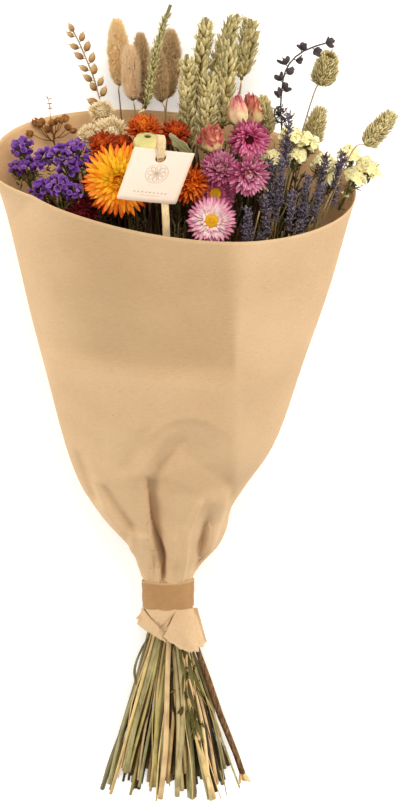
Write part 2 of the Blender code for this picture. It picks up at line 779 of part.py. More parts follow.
def strip(collection):
    """The flat paper strip: up behind the card, over its top edge and down through the hole."""
    hole = CARD_HOLE_ACROSS
    drop = Vector((0, 0, -PAPER - GAP - STRIP_THICK / 2))
    step = math.tau / SLEEVE_AROUND
    against = []
    for station in (*STRIP_STATIONS, RIM_ALONG):
        right, left = (sleeve_point(math.pi / 2 + turn, station) for turn in (0, step))
        against.append(right.lerp(left, STRIP_SHARE) + drop)
    route = against + [
        card_point(hole + 13.0, CARD_SIDE + 5, -5.6),
        card_point(hole + 10.5, CARD_SIDE - 5, -5.0),
        card_point(hole + 5.0, CARD_SIDE * 0.5, -3.8),
        card_point(hole + 1.0, 12.0, -3.0),
        card_point(hole, 0.0, -3.4),
        card_point(hole, -12.0, -2.6),
        card_point(hole, -17.5, 1.2),
        card_point(hole, -13.5, 4.8),
        card_point(hole, -5.0, 4.4),
        card_point(hole, 3.0, 2.6),
        card_point(hole, CARD_HOLE_DOWN, 0.2),
        card_point(hole, CARD_HOLE_DOWN + 1.2, -1.4),
    ]
    bm = bmesh.new()
    count = len(route) - 1
    bmesh.ops.create_grid(bm, x_segments=count, y_segments=1, size=0.5)
    for vert in bm.verts:
        place = round((vert.co.x + 0.5) * count)
        wide = right - left if place < len(against) else Vector(CARD_ACROSS)
        side = STRIP_HALF if vert.co.y > 0 else -STRIP_HALF
        vert.co = route[place] + wide.normalized() * side
    made = add_object("card_strip", bm, "strip", collection)
    wall = made.modifiers.new("paper", "SOLIDIFY")
    wall.thickness = STRIP_THICK * MM
    wall.offset = 0.0
    return made


def towards_tie(point, reach):
    """The point this far back from a place in the opening, on the way to the tie."""
    tie = Vector((0, 0, TIE_UP))
    return point + (tie - point).normalized() * reach


def slot_of(seat):
    """Where a stem passes the tie: the same place in the bunch as its flower has in the opening."""
    share = Vector((seat.x / OPENING_HALF[0], (seat.z - 66) / OPENING_HALF[1]))
    if share.length > 1:
        share.normalize()
    return Vector((CORE_ACROSS + share.x * SLOT_HALF[0], 0, TIE_UP + share.y * SLOT_HALF[1]))


def stem_route(seat, axis, draw):
    """From the cut end, through the tie, to just under its flower."""
    stray = [draw.uniform(-SLOT_STRAY, SLOT_STRAY) for _ in range(2)]
    slot = slot_of(seat) + Vector((stray[0], 0, stray[1]))
    across, up = slot.x - CORE_ACROSS, slot.z - TIE_UP
    cosine, sine = math.cos(TAIL_TWIST), math.sin(TAIL_TWIST)
    cut = Vector(
        (
            TAIL_MIDDLE[0] + (across * cosine - up * sine) * TAIL_SPREAD[0],
            TAIL_ALONG + draw.uniform(-TAIL_JITTER, TAIL_JITTER),
            TAIL_MIDDLE[1] + (across * sine + up * cosine) * TAIL_SPREAD[1],
        )
    )
    cut.z = max(cut.z, TABLE_CLEAR)
    end = seat - axis * GAP
    elbow = end - axis * ELBOW
    low = slot + Vector((0, -CORE_LENGTH * 0.45, 0))
    high = slot + Vector((0, CORE_LENGTH * 0.45, 0))
    return [cut, low, high, elbow, end]


def stems(seats, collection):
    """All the straw-coloured stems, gathered in the tie into one bunch."""
    draw = random.Random(6)
    bm = bmesh.new()
    bmesh.ops.create_cone(
        bm, cap_ends=True, segments=16, radius1=1.0, radius2=1.0, depth=CORE_LENGTH
    )
    squeeze = Matrix.Diagonal((CORE_HALF[0], CORE_HALF[1], 1.0, 1.0))
    lay = Matrix.Rotation(math.pi / 2, 4, "X")
    place = Matrix.Translation(Vector((CORE_ACROSS, 0, TIE_UP)))
    bmesh.ops.transform(bm, matrix=place @ lay @ squeeze, verts=bm.verts)
    pieces = [add_object("stems", bm, "straw_stem", collection)]
    for index, (seat, axis, thick) in enumerate(seats):
        route = stem_route(seat, axis, draw)
        sides = 1 if index % 4 == 0 else 0
        wide = thick * draw.uniform(1.4, 2.1)
        pieces.append(
            tube(f"stem_{index}", route, wide, "straw_stem", collection, sides, thick * 0.8)
        )
    return fuse(pieces, "stems")


def woody_stem(seat, axis, collection):
    """The thick dark stem at the bunch's right side."""
    end = seat - axis * GAP
    route = [*WOODY_ROUTE, end - axis * ELBOW, end]
    return tube("woody_stem", route, WOODY_THICK, "woody", collection, 1, STEM_THICK)


def rest_on_origin(collection):
    """Moves everything so that the origin is on the table under the middle of the bouquet."""
    graph = bpy.context.evaluated_depsgraph_get()
    corners = [
        Vector(corner)
        for thing in collection.objects
        for corner in thing.evaluated_get(graph).bound_box
    ]
    middle = [(min(c[k] for c in corners) + max(c[k] for c in corners)) / 2 for k in range(2)]
    for thing in collection.objects:
        thing.data.transform(Matrix.Translation((-middle[0], -middle[1], 0)))


def main():
    clear_scene()
    bouquet = bpy.data.collections.new("dried_flower_bouquet")
    bpy.context.scene.collection.children.link(bouquet)
    seats = []
    for name, (kind, foot, tip, width, bow) in SPIKES.items():
        foot, tip = Vector(foot), Vector(tip)
        if kind == "rose":
            rose(name, foot, tip, width, bouquet)
        else:
            spike(name, kind, foot, tip, width, bow, bouquet)
        seats.append((foot, (tip - foot).normalized(), STEM_THICK))
    for name, (kind, back, facing, radius) in BLOOMS.items():
        bloom(name, kind, back, facing, radius, bouquet)
        seats.append((Vector(back), Vector(facing).normalized(), STEM_THICK))
    disc("daisy_disc_1", "daisy_1", *DISC_LARGE, bouquet)
    disc("daisy_disc_5", "daisy_5", *DISC_SMALL, bouquet)
    for name, heads in STATICE.items():
        foot, axis = statice(name, heads, bouquet)
        if name == ON_WOODY_STEM:
            woody_stem(foot, axis, bouquet)
        else:
            seats.append((foot, axis, STEM_THICK))
    for name, spikes in LAVENDER.items():
        foot, axis = lavender(name, spikes, bouquet)
        seats.append((foot, axis, STEM_THIN))
    for name, (route, pods) in SPRAYS.items():
        spray(name, route, pods, bouquet)
        ahead = (Vector(route[1]) - Vector(route[0])).normalized()
        seats.append((Vector(route[0]), ahead, STEM_THIN))
    pod(bouquet)
    seats.append((Vector(SEED_POD[0]), Vector(SEED_POD[1]).normalized(), STEM_THICK))
    leaf(bouquet)
    seats.append((Vector(LEAF[0]), (Vector(LEAF[1]) - Vector(LEAF[0])).normalized(), STEM_THIN))
    stems(seats, bouquet)
    binding(bouquet)
    sleeve(bouquet)
    band(bouquet)
    card(bouquet)
    strip(bouquet)
    rest_on_origin(bouquet)


main()
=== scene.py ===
"""The looks of a dried-flower bouquet in a kraft paper sleeve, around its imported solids.

Each new piece is a numpy surface placed from the solid that it stands for. Lengths are in millimetres until
show() turns them into metres. +Y runs from the cut stems to the flower tips and +Z is up from the table.
"""

import math
from math import pi, tau

import bpy
import numpy as np
from mathutils import Matrix, Vector
from mathutils.bvhtree import BVHTree
from numpy import arange, array, clip, concatenate, cos, cross, exp, interp, linspace, maximum, minimum
from numpy import sin, sqrt, stack, where
from numpy.linalg import norm
from numpy.random import default_rng


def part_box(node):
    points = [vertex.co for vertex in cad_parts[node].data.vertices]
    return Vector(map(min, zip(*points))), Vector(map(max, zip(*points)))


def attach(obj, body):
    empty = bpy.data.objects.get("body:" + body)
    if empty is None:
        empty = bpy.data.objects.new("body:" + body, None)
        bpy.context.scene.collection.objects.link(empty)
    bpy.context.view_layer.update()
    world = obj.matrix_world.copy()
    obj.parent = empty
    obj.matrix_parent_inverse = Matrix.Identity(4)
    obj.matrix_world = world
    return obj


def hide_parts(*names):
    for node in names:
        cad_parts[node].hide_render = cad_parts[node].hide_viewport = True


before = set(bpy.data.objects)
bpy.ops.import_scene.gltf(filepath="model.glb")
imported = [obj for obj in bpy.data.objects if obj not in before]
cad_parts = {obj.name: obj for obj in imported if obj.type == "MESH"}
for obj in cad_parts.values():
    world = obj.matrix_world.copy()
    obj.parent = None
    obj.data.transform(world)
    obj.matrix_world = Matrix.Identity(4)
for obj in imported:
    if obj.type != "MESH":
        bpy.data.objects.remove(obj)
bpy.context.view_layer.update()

MM = 0.001
UP = array([0.0, 0.0, 1.0])
GOLDEN = pi * (3 - math.sqrt(5))  # the turn from one scale of a spiral to the next


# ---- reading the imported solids


def unit(vectors):
    """Vectors made one long."""
    return vectors / maximum(norm(vectors, axis=-1, keepdims=True), 1e-9)


def solid(node):
    """A node's points in millimetres and its triangles, with its doubled points merged."""
    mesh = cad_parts[node].data
    points = np.empty(len(mesh.vertices) * 3)
    corners = np.empty(len(mesh.polygons) * 3, np.int64)
    mesh.vertices.foreach_get("co", points)
    mesh.polygons.foreach_get("vertices", corners)
    kept, place = np.unique((points.reshape(-1, 3) / MM).round(3), axis=0, return_inverse=True)
    return kept, place.reshape(-1)[corners].reshape(-1, 3)


def middle_of(node):
    """The middle of a node's box in millimetres."""
    low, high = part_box(node)
    return (array(low) + array(high)) / (2 * MM)


TIE = middle_of("paper_band")


def steps(count):
    """Even steps from 0 to 1."""
    return linspace(0, 1, count)


def pile(*parts):
    """Arrays side by side, along a new last axis."""
    return stack(parts, -1)


def evenly_round(count):
    """Turns that go once round in equal steps."""
    return tau * arange(count) / count


def spiral(count):
    """A golden spiral: each item's share of the whole and its turn."""
    return (arange(count) + 0.5) / count, arange(count) * GOLDEN


def mottled(draw, middle, spread, count):
    """Random tones round a middle, kept between 0 and 1."""
    return clip(draw.normal(middle, spread, count), 0, 1)


def samples(node, count, seed=1):
    """Points spread evenly over a node's surface, and the outward direction at each."""
    points, faces = solid(node)
    draw = default_rng(seed)
    a, b, c = (points[faces[:, k]] for k in range(3))
    square = cross(b - a, c - a)
    area = norm(square, axis=1)
    pick = draw.choice(len(faces), count, p=area / area.sum())
    share = draw.random((2, count, 1))
    root = sqrt(share[0])
    spot = a[pick] * (1 - root) + b[pick] * root * (1 - share[1]) + c[pick] * root * share[1]
    return spot, unit(square[pick])


def inner_points(node, count, least, seed=1):
    """Surface samples where a ray inwards runs at least this far to the far wall: they, their directions,
    and the middles between the walls."""
    points, faces = solid(node)
    tree = BVHTree.FromPolygons(points.tolist(), faces.tolist())
    spot, out = samples(node, count, seed)
    rays = (tree.ray_cast(Vector(p - n * 0.02), Vector(-n)) for p, n in zip(spot, out))
    thick = array([ray[3] or 0.0 for ray in rays])
    kept = thick > least
    spot, out, thick = spot[kept], out[kept], thick[kept]
    return spot, out, spot - out * thick[:, None] / 2


def groups(points, link):
    """Points that chains of steps shorter than link join, as a list of index arrays."""
    near = norm(points[:, None] - points[None], axis=2) < link
    label = arange(len(points))
    while True:
        lower = where(near, label[None], len(points)).min(axis=1)
        if (lower == label).all():
            break
        label = lower
    return [np.flatnonzero(label == value) for value in np.unique(label)]


def centre_line(points, foot, count, smooth=2):
    """The middle of a long form: the mean of its points in each shell round the foot."""
    reach = norm(points - foot, axis=1)
    edges = linspace(0, reach.max() * 0.985, count)
    span = edges[1] * 0.9
    weights = exp(-(((reach[None] - edges[:, None]) / span) ** 2))
    line = (weights @ points) / weights.sum(axis=1, keepdims=True)
    line[0] = foot
    line[-1] = points[reach > reach.max() * 0.97].mean(axis=0)
    for _ in range(smooth):
        line[1:-1] = line[1:-1] / 2 + (line[:-2] + line[2:]) / 4
    return line


def near_end(points, share=0.012):
    """The middle of the end of a form that is nearest the tie."""
    reach = norm(points - TIE, axis=1)
    return points[reach <= reach.min() + (reach.max() - reach.min()) * share + 0.6].mean(axis=0)


class Head:
    """Where a bloom or spike stands: its foot, the way it faces, its length and its radius. It faces away
    from the tie, in the direction whose spread differs most from the other two."""

    def __init__(self, points):
        middle = points.mean(axis=0)
        spread, ways = np.linalg.eigh(np.cov((points - middle).T))
        axis = ways[:, 0] if spread[1] - spread[0] > spread[2] - spread[1] else ways[:, 2]
        axis = axis * np.sign(axis @ (middle - TIE))
        high = (points - middle) @ axis
        self.foot = middle + axis * high.min()
        self.length = high.max() - high.min()
        self.radius = norm(points - middle - high[:, None] * axis, axis=1).max()
        self.look(axis)

    def look(self, axis):
        """Turns the head to face along an axis."""
        self.axis = axis
        side = unit(cross(axis, UP) if abs(axis[2]) < 0.9 else cross(axis, [0.0, 1.0, 0.0]))
        self.turn = array([side, cross(axis, side), axis])

    def place(self, local):
        """Points given from the foot, with the third number along the axis."""
        return self.foot + local @ self.turn

    def stalk(self, low, high, count):
        """Points along the axis between two heights above the foot."""
        return self.foot + self.axis * linspace(low, high, count)[:, None]

    def whorl(self, turns, reach, height, lean):
        """Roots round the head: where each stands, the way it grows, and the way its upper face looks."""
        turns, reach, height, lean = np.broadcast_arrays(turns, reach, height, lean)
        flat = pile(cos(turns), sin(turns), np.zeros_like(turns, float))
        root = flat * reach[..., None] + UP * height[..., None]
        ahead = flat * cos(lean)[..., None] + UP * sin(lean)[..., None]
        face = UP * cos(lean)[..., None] - flat * sin(lean)[..., None]
        return self.place(root), ahead @ self.turn, face @ self.turn


# ---- surfaces

NO_TRIS = np.empty((0, 3), np.int64)


class Skin:
    """A surface that is being gathered: points, faces with four or three corners, and painted values."""

    def __init__(self, points, quads, tris, paint):
        self.points, self.quads, self.tris, self.paint = points, quads, tris, paint


def joined(skins):
    """Several surfaces as one."""
    starts = np.cumsum([0] + [len(skin.points) for skin in skins[:-1]])
    names = {name for skin in skins for name in skin.paint}
    paint = {
        name: concatenate([skin.paint.get(name, np.zeros(len(skin.points))) for skin in skins])
        for name in names
    }
    return Skin(
        concatenate([skin.points for skin in skins]),
        concatenate([skin.quads + start for skin, start in zip(skins, starts)]),
        concatenate([skin.tris + start for skin, start in zip(skins, starts)]),
        paint,
    )


def copies(points, quads, tris, paint):
    """One set of faces laid on many pieces (pieces, corners, 3), each turned to face outwards by the sign
    of the volume that it closes."""
    count, size = points.shape[:2]
    halves = concatenate([quads[:, [0, 1, 2]], quads[:, [0, 2, 3]], tris])
    local = points - points.mean(axis=1, keepdims=True)
    a, b, c = (local[:, halves[:, k]] for k in range(3))
    inside_out = np.einsum("pfk,pfk->p", a, cross(b, c)) < 0
    start = (arange(count) * size)[:, None, None]
    faces = []
    for kind in (quads, tris):
        both = where(inside_out[:, None, None], kind[None, :, ::-1], kind[None]) + start
        faces.append(both.reshape(-1, kind.shape[1]))
    paint = {name: each(value, count, size).reshape(-1) for name, value in paint.items()}
    return Skin(points.reshape(-1, 3), faces[0], faces[1], paint)


def ring_faces(rows, around, closed=False):
    """Faces that join each ring of points to the next, and if closed the last to the first."""
    row, column = np.meshgrid(arange(rows if closed else rows - 1), arange(around), indexing="ij")
    beside, above = (column + 1) % around, (row + 1) % rows * around
    return pile(row * around + column, row * around + beside, above + beside, above + column).reshape(-1, 4)


def each(value, *shape):
    """One number for each piece or place, from one number or an array."""
    return np.broadcast_to(np.asarray(value, float), shape)


def loft(rings, foot, tip, **paint):
    """Closed skins through rings (pieces, rows, around, 3), with fans to a foot and a tip point. Painted
    values are (pieces, rows + 2) or (pieces, 1): foot, rings, tip."""
    count, rows, around = rings.shape[:3]
    points = concatenate([foot[:, None], rings.reshape(count, -1, 3), tip[:, None]], axis=1)
    quads = 1 + ring_faces(rows, around)
    ends = arange(around)
    low = pile(np.zeros_like(ends), 1 + (ends + 1) % around, 1 + ends)
    last = 1 + (rows - 1) * around
    high = pile(np.full_like(ends, last + around), last + ends, last + (ends + 1) % around)

    def spread(value):
        """A value given at foot, rings and tip, laid on every point."""
        value = each(value, count, rows + 2)
        return concatenate([value[:, :1], np.repeat(value[:, 1:-1], around, axis=1), value[:, -1:]], axis=1)

    return copies(points, quads, concatenate([low, high]), {k: spread(v) for k, v in paint.items()})


def sheets(points, thick, **paint):
    """Thin closed skins: a grid (pieces, rows, columns, 3) moves half its thickness to each side along its
    normals, less towards its closed border. Painted values are (pieces, rows, columns)."""
    count, rows, columns = points.shape[:3]
    normal = unit(cross(np.gradient(points, axis=1), np.gradient(points, axis=2)))
    row, column = np.ogrid[0:rows, 0:columns]
    edge = minimum(minimum(row, column), minimum(rows - 1 - row, columns - 1 - column))
    half = thick / 2 * where(edge == 0, 0.35, 1.0)[None, :, :, None]
    both = stack([points + normal * half, points - normal * half], axis=1).reshape(count, -1, 3)
    here = (row[:-1] * columns + column[:, :-1]).reshape(-1)
    top = pile(here, here + 1, here + columns + 1, here + columns)
    size = rows * columns
    index = arange(size).reshape(rows, columns)
    border = concatenate([index[0, :-1], index[:-1, -1], index[-1, :0:-1], index[:0:-1, 0]])
    after = np.roll(border, -1)
    sides = pile(after, border, border + size, after + size)
    quads = concatenate([top, top[:, ::-1] + size, sides])
    grids = {k: each(v, count, rows, columns).reshape(count, -1) for k, v in paint.items()}
    return copies(both, quads, NO_TRIS, {k: np.tile(v, 2) for k, v in grids.items()})


def outline(share, widest=0.5, blunt=0.7):
    """A petal's width along its length: a sine whose peak is moved to `widest`, to the power blunt."""
    return sin(pi * share ** (math.log(0.5) / math.log(widest))).clip(1e-4) ** blunt


def blades(root, ahead, face, length, width, thick, bend, cup, shape, grid, tone, tier):
    """Petals, scales and hairs: flattened tubes along an arc. Each leaves its root ahead, turns by `bend`
    radians towards its face, is as wide as the outline, and its edges rise to the face by `cup`."""
    count = len(root)
    rows, around = grid
    given = (length, width, thick, bend, cup, tone, tier)
    length, width, thick, bend, cup, tone, tier = (each(value, count)[:, None] for value in given)
    face = unit(face - ahead * (face * ahead).sum(-1, keepdims=True))
    side = cross(ahead, face)
    share = (0.5 - cos(pi * steps(rows + 2)) / 2) * 0.55 + steps(rows + 2) * 0.45
    bend = where(abs(bend) < 1e-3, 1e-3, bend)
    angle, size = bend * share, length / bend
    along, rise = sin(angle) * size, (1 - cos(angle)) * size
    spine = root[:, None] + ahead[:, None] * along[..., None] + face[:, None] * rise[..., None]
    normal = face[:, None] * cos(angle)[..., None] - ahead[:, None] * sin(angle)[..., None]
    turn = evenly_round(around)
    wide = width / 2 * outline(share, *shape)
    deep = thick / 2 * outline(share, 0.4, 0.6)
    over = wide[..., None] * cos(turn)
    lift = deep[..., None] * sin(turn) + cup[..., None] * wide[..., None] * cos(turn) ** 2
    rings = spine[:, :, None] + side[:, None, None] * over[..., None] + normal[:, :, None] * lift[..., None]
    return loft(rings[:, 1:-1], spine[:, 0], spine[:, -1], along=share[None], tone=tone, tier=tier)


def cups(root, ahead, radius, depth, tone, turn, hollow):
    """Papery florets: funnels whose section runs up the outer wall, over a rim that waves five times round
    in reach and height, and down inside."""
    count = len(root)
    rim, inner = 1.0 - hollow * 0.28, 1.0 - hollow
    section = array([(0.2, 0.0), (0.42, 0.4), (0.8, 0.8), (1.0, 1.0), (0.74, rim), (0.32, inner)])
    strength = array([0, 0.05, 0.14, 0.22, 0.16, 0.0])[None, :, None]
    ahead = unit(ahead)
    side = unit(cross(ahead, [0.31, 0.22, 0.92]))
    other = cross(ahead, side)
    angle = evenly_round(10)
    wave = cos(5 * (angle[None] + each(turn, count)[:, None]))[:, None]
    reach = section[:, 0][None, :, None] * (1 + strength * wave)
    high = section[:, 1][None, :, None] - 0.5 * strength * wave
    radius, depth = (each(value, count)[:, None, None] for value in (radius, depth))
    x, y, z = reach * radius * cos(angle), reach * radius * sin(angle), high * depth
    rings = root[:, None, None] + side[:, None, None] * x[..., None]
    rings = rings + other[:, None, None] * y[..., None] + ahead[:, None, None] * z[..., None]
    share = array([0.0, *section[:4, 1], 0.75, 0.45, 0.2])
    bottom = root + ahead * depth[:, 0] * (0.9 - hollow)
    tone = each(tone, count)[:, None]
    return loft(rings, root - ahead * depth[:, 0] * 0.08, bottom, along=share[None], tone=tone, tier=0.5)


def tubes(routes, thick, around=6, tone=0.5, tier=0.5):
    """Stems: rings square to each route (pieces, stops, 3), as thick as given at each stop."""
    count, stops = routes.shape[:2]
    ahead = unit(np.gradient(routes, axis=1))
    side = unit(cross(ahead, [1.0, 0.12, 0.05]))
    other = cross(ahead, side)
    turn = evenly_round(around)
    half = each(thick, count, stops)[..., None] / 2
    x, y = half * cos(turn), half * sin(turn)
    rings = routes[:, :, None] + side[:, :, None] * x[..., None] + other[:, :, None] * y[..., None]
    share = concatenate([[0.0], steps(stops), [1.0]])[None]
    return loft(rings, routes[:, 0], routes[:, -1], along=share, tone=each(tone, count)[:, None], tier=tier)


def cubic(t, a, b, slope_a, slope_b):
    """The usual cubic from a to b that also meets the slope given at each end."""
    start = a * (2 * t**3 - 3 * t**2 + 1) + slope_a * (t**3 - 2 * t**2 + t)
    return start + b * (3 * t**2 - 2 * t**3) + slope_b * (t**3 - t**2)


def smooth_routes(stops, count):
    """Smooth curves through stops (pieces, stops, 3): cubics, with half the step between a stop's
    neighbours as its slope."""
    size = stops.shape[1]
    place = linspace(0, size - 1, count)
    index = minimum(place.astype(int), size - 2)
    slope = np.gradient(stops, axis=1)
    t = (place - index)[None, :, None]
    return cubic(t, stops[:, index], stops[:, index + 1], slope[:, index], slope[:, index + 1])


# ---- materials


def tint(colour):
    """A colour given as six hex digits, made linear for the shader."""
    levels = [level / 255 for level in bytes.fromhex(colour)]
    return (*[v / 12.92 if v <= 0.04045 else ((v + 0.055) / 1.055) ** 2.4 for v in levels], 1.0)


class Value:
    """A number or colour that changes over a surface. Arithmetic on it adds Math nodes."""

    def __init__(self, paint, socket):
        self.paint, self.socket = paint, socket

    def math(self, operation, first, second=0.0):
        """Adds a Math node."""
        return self.paint.node("ShaderNodeMath", {"operation": operation}, {0: first, 1: second})

    def __add__(self, other):
        return self.math("ADD", self, other)

    __radd__ = __add__

    def __mul__(self, other):
        return self.math("MULTIPLY", self, other)

    __rmul__ = __mul__

    def __sub__(self, other):
        return self.math("SUBTRACT", self, other)

    def __rsub__(self, other):
        return self.math("SUBTRACT", other, self)

    def __pow__(self, other):
        return self.math("POWER", self, other)


class Paint:
    """One material and the nodes that are added to it."""

    def __init__(self, name, **constants):
        self.material = bpy.data.materials.new(name)
        self.material.use_nodes = True
        self.tree = self.material.node_tree
        self.shader = self.tree.nodes["Principled BSDF"]
        for socket, value in constants.items():
            self.shader.inputs[socket.replace("_", " ")].default_value = value

    def node(self, kind, settings=None, inputs=None, out=0):
        """Adds a node: its settings come first, then the values or links of its sockets."""
        made = self.tree.nodes.new(kind)
        for key, value in (settings or {}).items():
            if key == "stops":
                elements = made.color_ramp.elements
                while len(elements) < len(value):
                    elements.new(0.5)
                for element, (place, colour) in zip(elements, value):
                    element.position = place
                    element.color = colour
            else:
                setattr(made, key, value)
        for key, value in (inputs or {}).items():
            if isinstance(value, Value):
                self.tree.links.new(value.socket, made.inputs[key])
            else:
                made.inputs[key].default_value = value
        return Value(self, made.outputs[out])

    def painted(self, name):
        """A value painted on the piece's points."""
        return self.node("ShaderNodeAttribute", {"attribute_name": name}, out=2)

    def place(self):
        """Object coordinates, in metres."""
        return self.node("ShaderNodeTexCoord", out=3)

    def vector(self, x, y, z):
        return self.node("ShaderNodeCombineXYZ", None, {0: x, 1: y, 2: z})

    def stretched(self, scale):
        """Object coordinates times a number in each direction."""
        return self.node("ShaderNodeMapping", None, {"Vector": self.place(), "Scale": scale})

    def noise(self, vector, scale=1.0, detail=3.0, roughness=0.55):
        given = {"Vector": vector, "Scale": scale, "Detail": detail, "Roughness": roughness}
        return self.node("ShaderNodeTexNoise", None, given)

    def ramp(self, value, *stops):
        """A colour ramp with (place, colour) stops."""
        return self.node("ShaderNodeValToRGB", {"stops": stops}, {0: value})

    def mix(self, factor, first, second, blend="MIX"):
        given = {0: factor, 6: first, 7: second}
        return self.node("ShaderNodeMix", {"data_type": "RGBA", "blend_type": blend}, given, out=2)

    def bump(self, height, distance, strength=1.0):
        given = {"Height": height, "Distance": distance, "Strength": strength}
        return self.node("ShaderNodeBump", None, given)

    def finish(self, colour, roughness=None, normal=None):
        """Links what changes over the surface, and gives the material."""
        for socket, value in (("Base Color", colour), ("Roughness", roughness), ("Normal", normal)):
            if value is not None:
                self.tree.links.new(value.socket, self.shader.inputs[socket])
        return self.material


def stops_of(colours):
    """Ramp stops from a row of hex colours, spread evenly unless a place stands before a colour."""
    words = [word.split(":") for word in colours.split()]
    places = steps(len(words))
    return [(float(word[0]) if word[1:] else place, tint(word[-1])) for word, place in zip(words, places)]


def plant(name, young, old, streak, deep=None, rough=0.75, sharp=1.0):
    """A dried plant's finish. Two ramps along each blade, young and old, are mixed by its tone; fibres
    streak it lengthways by a noise; and `deep` tints it the more, the lower its tier."""
    paint = Paint(name, Roughness=rough, Specular_IOR_Level=0.25)
    along, tone = paint.painted("along"), paint.painted("tone")
    colour = paint.mix(tone, paint.ramp(along, *stops_of(young)), paint.ramp(along, *stops_of(old)))
    grain = paint.noise(paint.stretched((900.0, 420.0, 900.0)), 1.0, 2.0)
    fibre = paint.noise(paint.vector(tone * 37.0, along * 3.0, grain * 4.0), 2.2, 2.0)
    dark = (fibre * 0.6 + grain * 0.4 - 0.35) * streak * 2.0
    colour = paint.mix(dark, colour, tint("28180a"), "MULTIPLY")
    if deep:
        inner = (1.0 - paint.painted("tier")) ** sharp
        colour = paint.mix(inner * 0.85, colour, tint(deep))
    return paint.finish(colour, None, paint.bump(grain, 0.0004, 0.35))


def placed(name, data):
    """A new object in the scene."""
    piece = bpy.data.objects.new(name, data)
    bpy.context.scene.collection.objects.link(piece)
    return piece


def show(name, skins, finish, slot, *nodes):
    """Makes one piece from surfaces, in metres, hangs it on the root body, and hides the solids it stands
    for.
    """
    skin = joined(skins)
    mesh = bpy.data.meshes.new(name)
    mesh.vertices.add(len(skin.points))
    mesh.vertices.foreach_set("co", (skin.points * MM).ravel())
    corners = concatenate([skin.quads.ravel(), skin.tris.ravel()])
    sizes = concatenate([np.full(len(skin.quads), 4), np.full(len(skin.tris), 3)])
    mesh.loops.add(len(corners))
    mesh.loops.foreach_set("vertex_index", corners)
    mesh.polygons.add(len(sizes))
    mesh.polygons.foreach_set("loop_start", np.cumsum(sizes) - sizes)
    mesh.update(calc_edges=True)
    mesh.validate()
    for key, value in skin.paint.items():
        layer = mesh.attributes.new(key, "FLOAT", "POINT")
        layer.data.foreach_set("value", value.astype(np.float32))
    mesh.shade_smooth()
    mesh.materials.append(finish)
    piece = placed(name, mesh)
    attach(piece, "root")
    if nodes:
        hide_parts(*nodes)


# ---- the paper

# The solid sleeve's rows: along from the tie, centre across, half width, underside and top side.
SLEEVE_STATIONS = array([
    (-42, 0.5, 26.5, 4.0, 48.0), (-26, 0.2, 21.5, 8.0, 44.0), (-13, 0.0, 18.3, 10.2, 41.8),
    (0, 0.0, 18.2, 10.3, 41.7), (13, 0.0, 18.3, 10.2, 41.8), (25, 1.5, 22.5, 8.6, 46.0),
    (38, 4.5, 29.5, 6.0, 53.0), (52, 2.0, 38.0, 4.0, 60.0), (70, -3.0, 47.5, 2.4, 68.0),
    (92, -3.0, 59.5, 1.4, 78.0), (135, 0.6, 76.4, 0.0, 93.0), (190, 3.4, 90.8, 0.0, 106.0),
    (260, 5.6, 107.9, 0.6, 120.0), (330, 7.0, 123.5, 2.4, 132.0),
])
RIM_ALONG, RIM_FRONT_DROP, RIM_SIDE_DROP = 328.0, 26.0, 13.0
SKIRT_ALONG, SKIRT_SIDE_DROP = -34.0, 9.0
PAPER_SHEET = 0.8
TENT_TOP = 46.5  # how far right of the middle the front's long fold runs
FOOT = array([TIE[0], TIE[1], 0.0])


def kraft_finish(name, light, dark, rough=0.8, depth=1.0):
    """Kraft paper: cloudy brown with fibres along it and fine flecks, and soft crumples in its bump."""
    paint = Paint(name, Roughness=rough, Specular_IOR_Level=0.22)
    place = paint.place()
    clouds = paint.noise(place, 14.0, 3.0)
    grain = paint.noise(paint.stretched((260.0, 1500.0, 260.0)), 1.0, 3.0)
    flecks = paint.noise(place, 900.0, 1.0, 0.3)
    colour = paint.ramp(clouds * 0.6 + grain * 0.4, (0.32, dark), (0.62, light))
    # Painted light: lightens the paper's inner face towards the sleeve's mouth.
    colour = paint.mix(paint.painted("inside") * 0.85, colour, tint("ffd09a"))
    # Painted shade: darkens the sleeve's front panel left of its long fold.
    colour = paint.mix(paint.painted("double") * 0.9, colour, tint("e2ded7"), "MULTIPLY")
    colour = paint.mix((flecks - 0.68) * 3.0, colour, tint("8c683e"))
    # Painted highlight: lightens the paper along its cut edges.
    colour = paint.mix(paint.painted("worn") * 0.5, colour, tint("dcbc92"))
    height = paint.noise(place, 42.0, 4.0, 0.5) * 0.45 * depth + grain * 0.05 + flecks * 0.03
    return paint.finish(colour, 0.78 + (clouds - 0.5) * 0.2, paint.bump(height, 0.0016, 0.5))


def station_values(station):
    """The table's columns at each station, on the smooth curve through its rows that the solid uses."""
    rows = SLEEVE_STATIONS
    slope = np.empty_like(rows[:, 1:])
    slope[1:-1] = (rows[2:, 1:] - rows[:-2, 1:]) / (rows[2:, :1] - rows[:-2, :1])
    slope[0] = (rows[1, 1:] - rows[0, 1:]) / (rows[1, 0] - rows[0, 0])
    slope[-1] = (rows[-1, 1:] - rows[-2, 1:]) / (rows[-1, 0] - rows[-2, 0])
    low = clip(np.searchsorted(rows[:, 0], station) - 1, 0, len(rows) - 2)
    span = (rows[low + 1, 0] - rows[low, 0])[..., None]
    t = (station[..., None] - rows[low, :1]) / span
    found = cubic(t, rows[low, 1:], rows[low + 1, 1:], slope[low] * span, slope[low + 1] * span)
    return np.moveaxis(found, -1, 0)


def step_up(value, low, high):
    """Rises smoothly from 0 at low to 1 at high."""
    share = clip((value - low) / (high - low), 0, 1)
    return share * share * (3 - 2 * share)


def between(value, low, high, soft):
    """1 inside a range and 0 outside it, with soft ends."""
    return step_up(value, low - soft, low + soft) * (1 - step_up(value, high - soft, high + soft))


def line_at(along, *stops):
    """How far across a line runs at each place along, from (along, across) stops."""
    stops = array(sorted(stops), float)
    return interp(along, stops[:, 0], stops[:, 1])


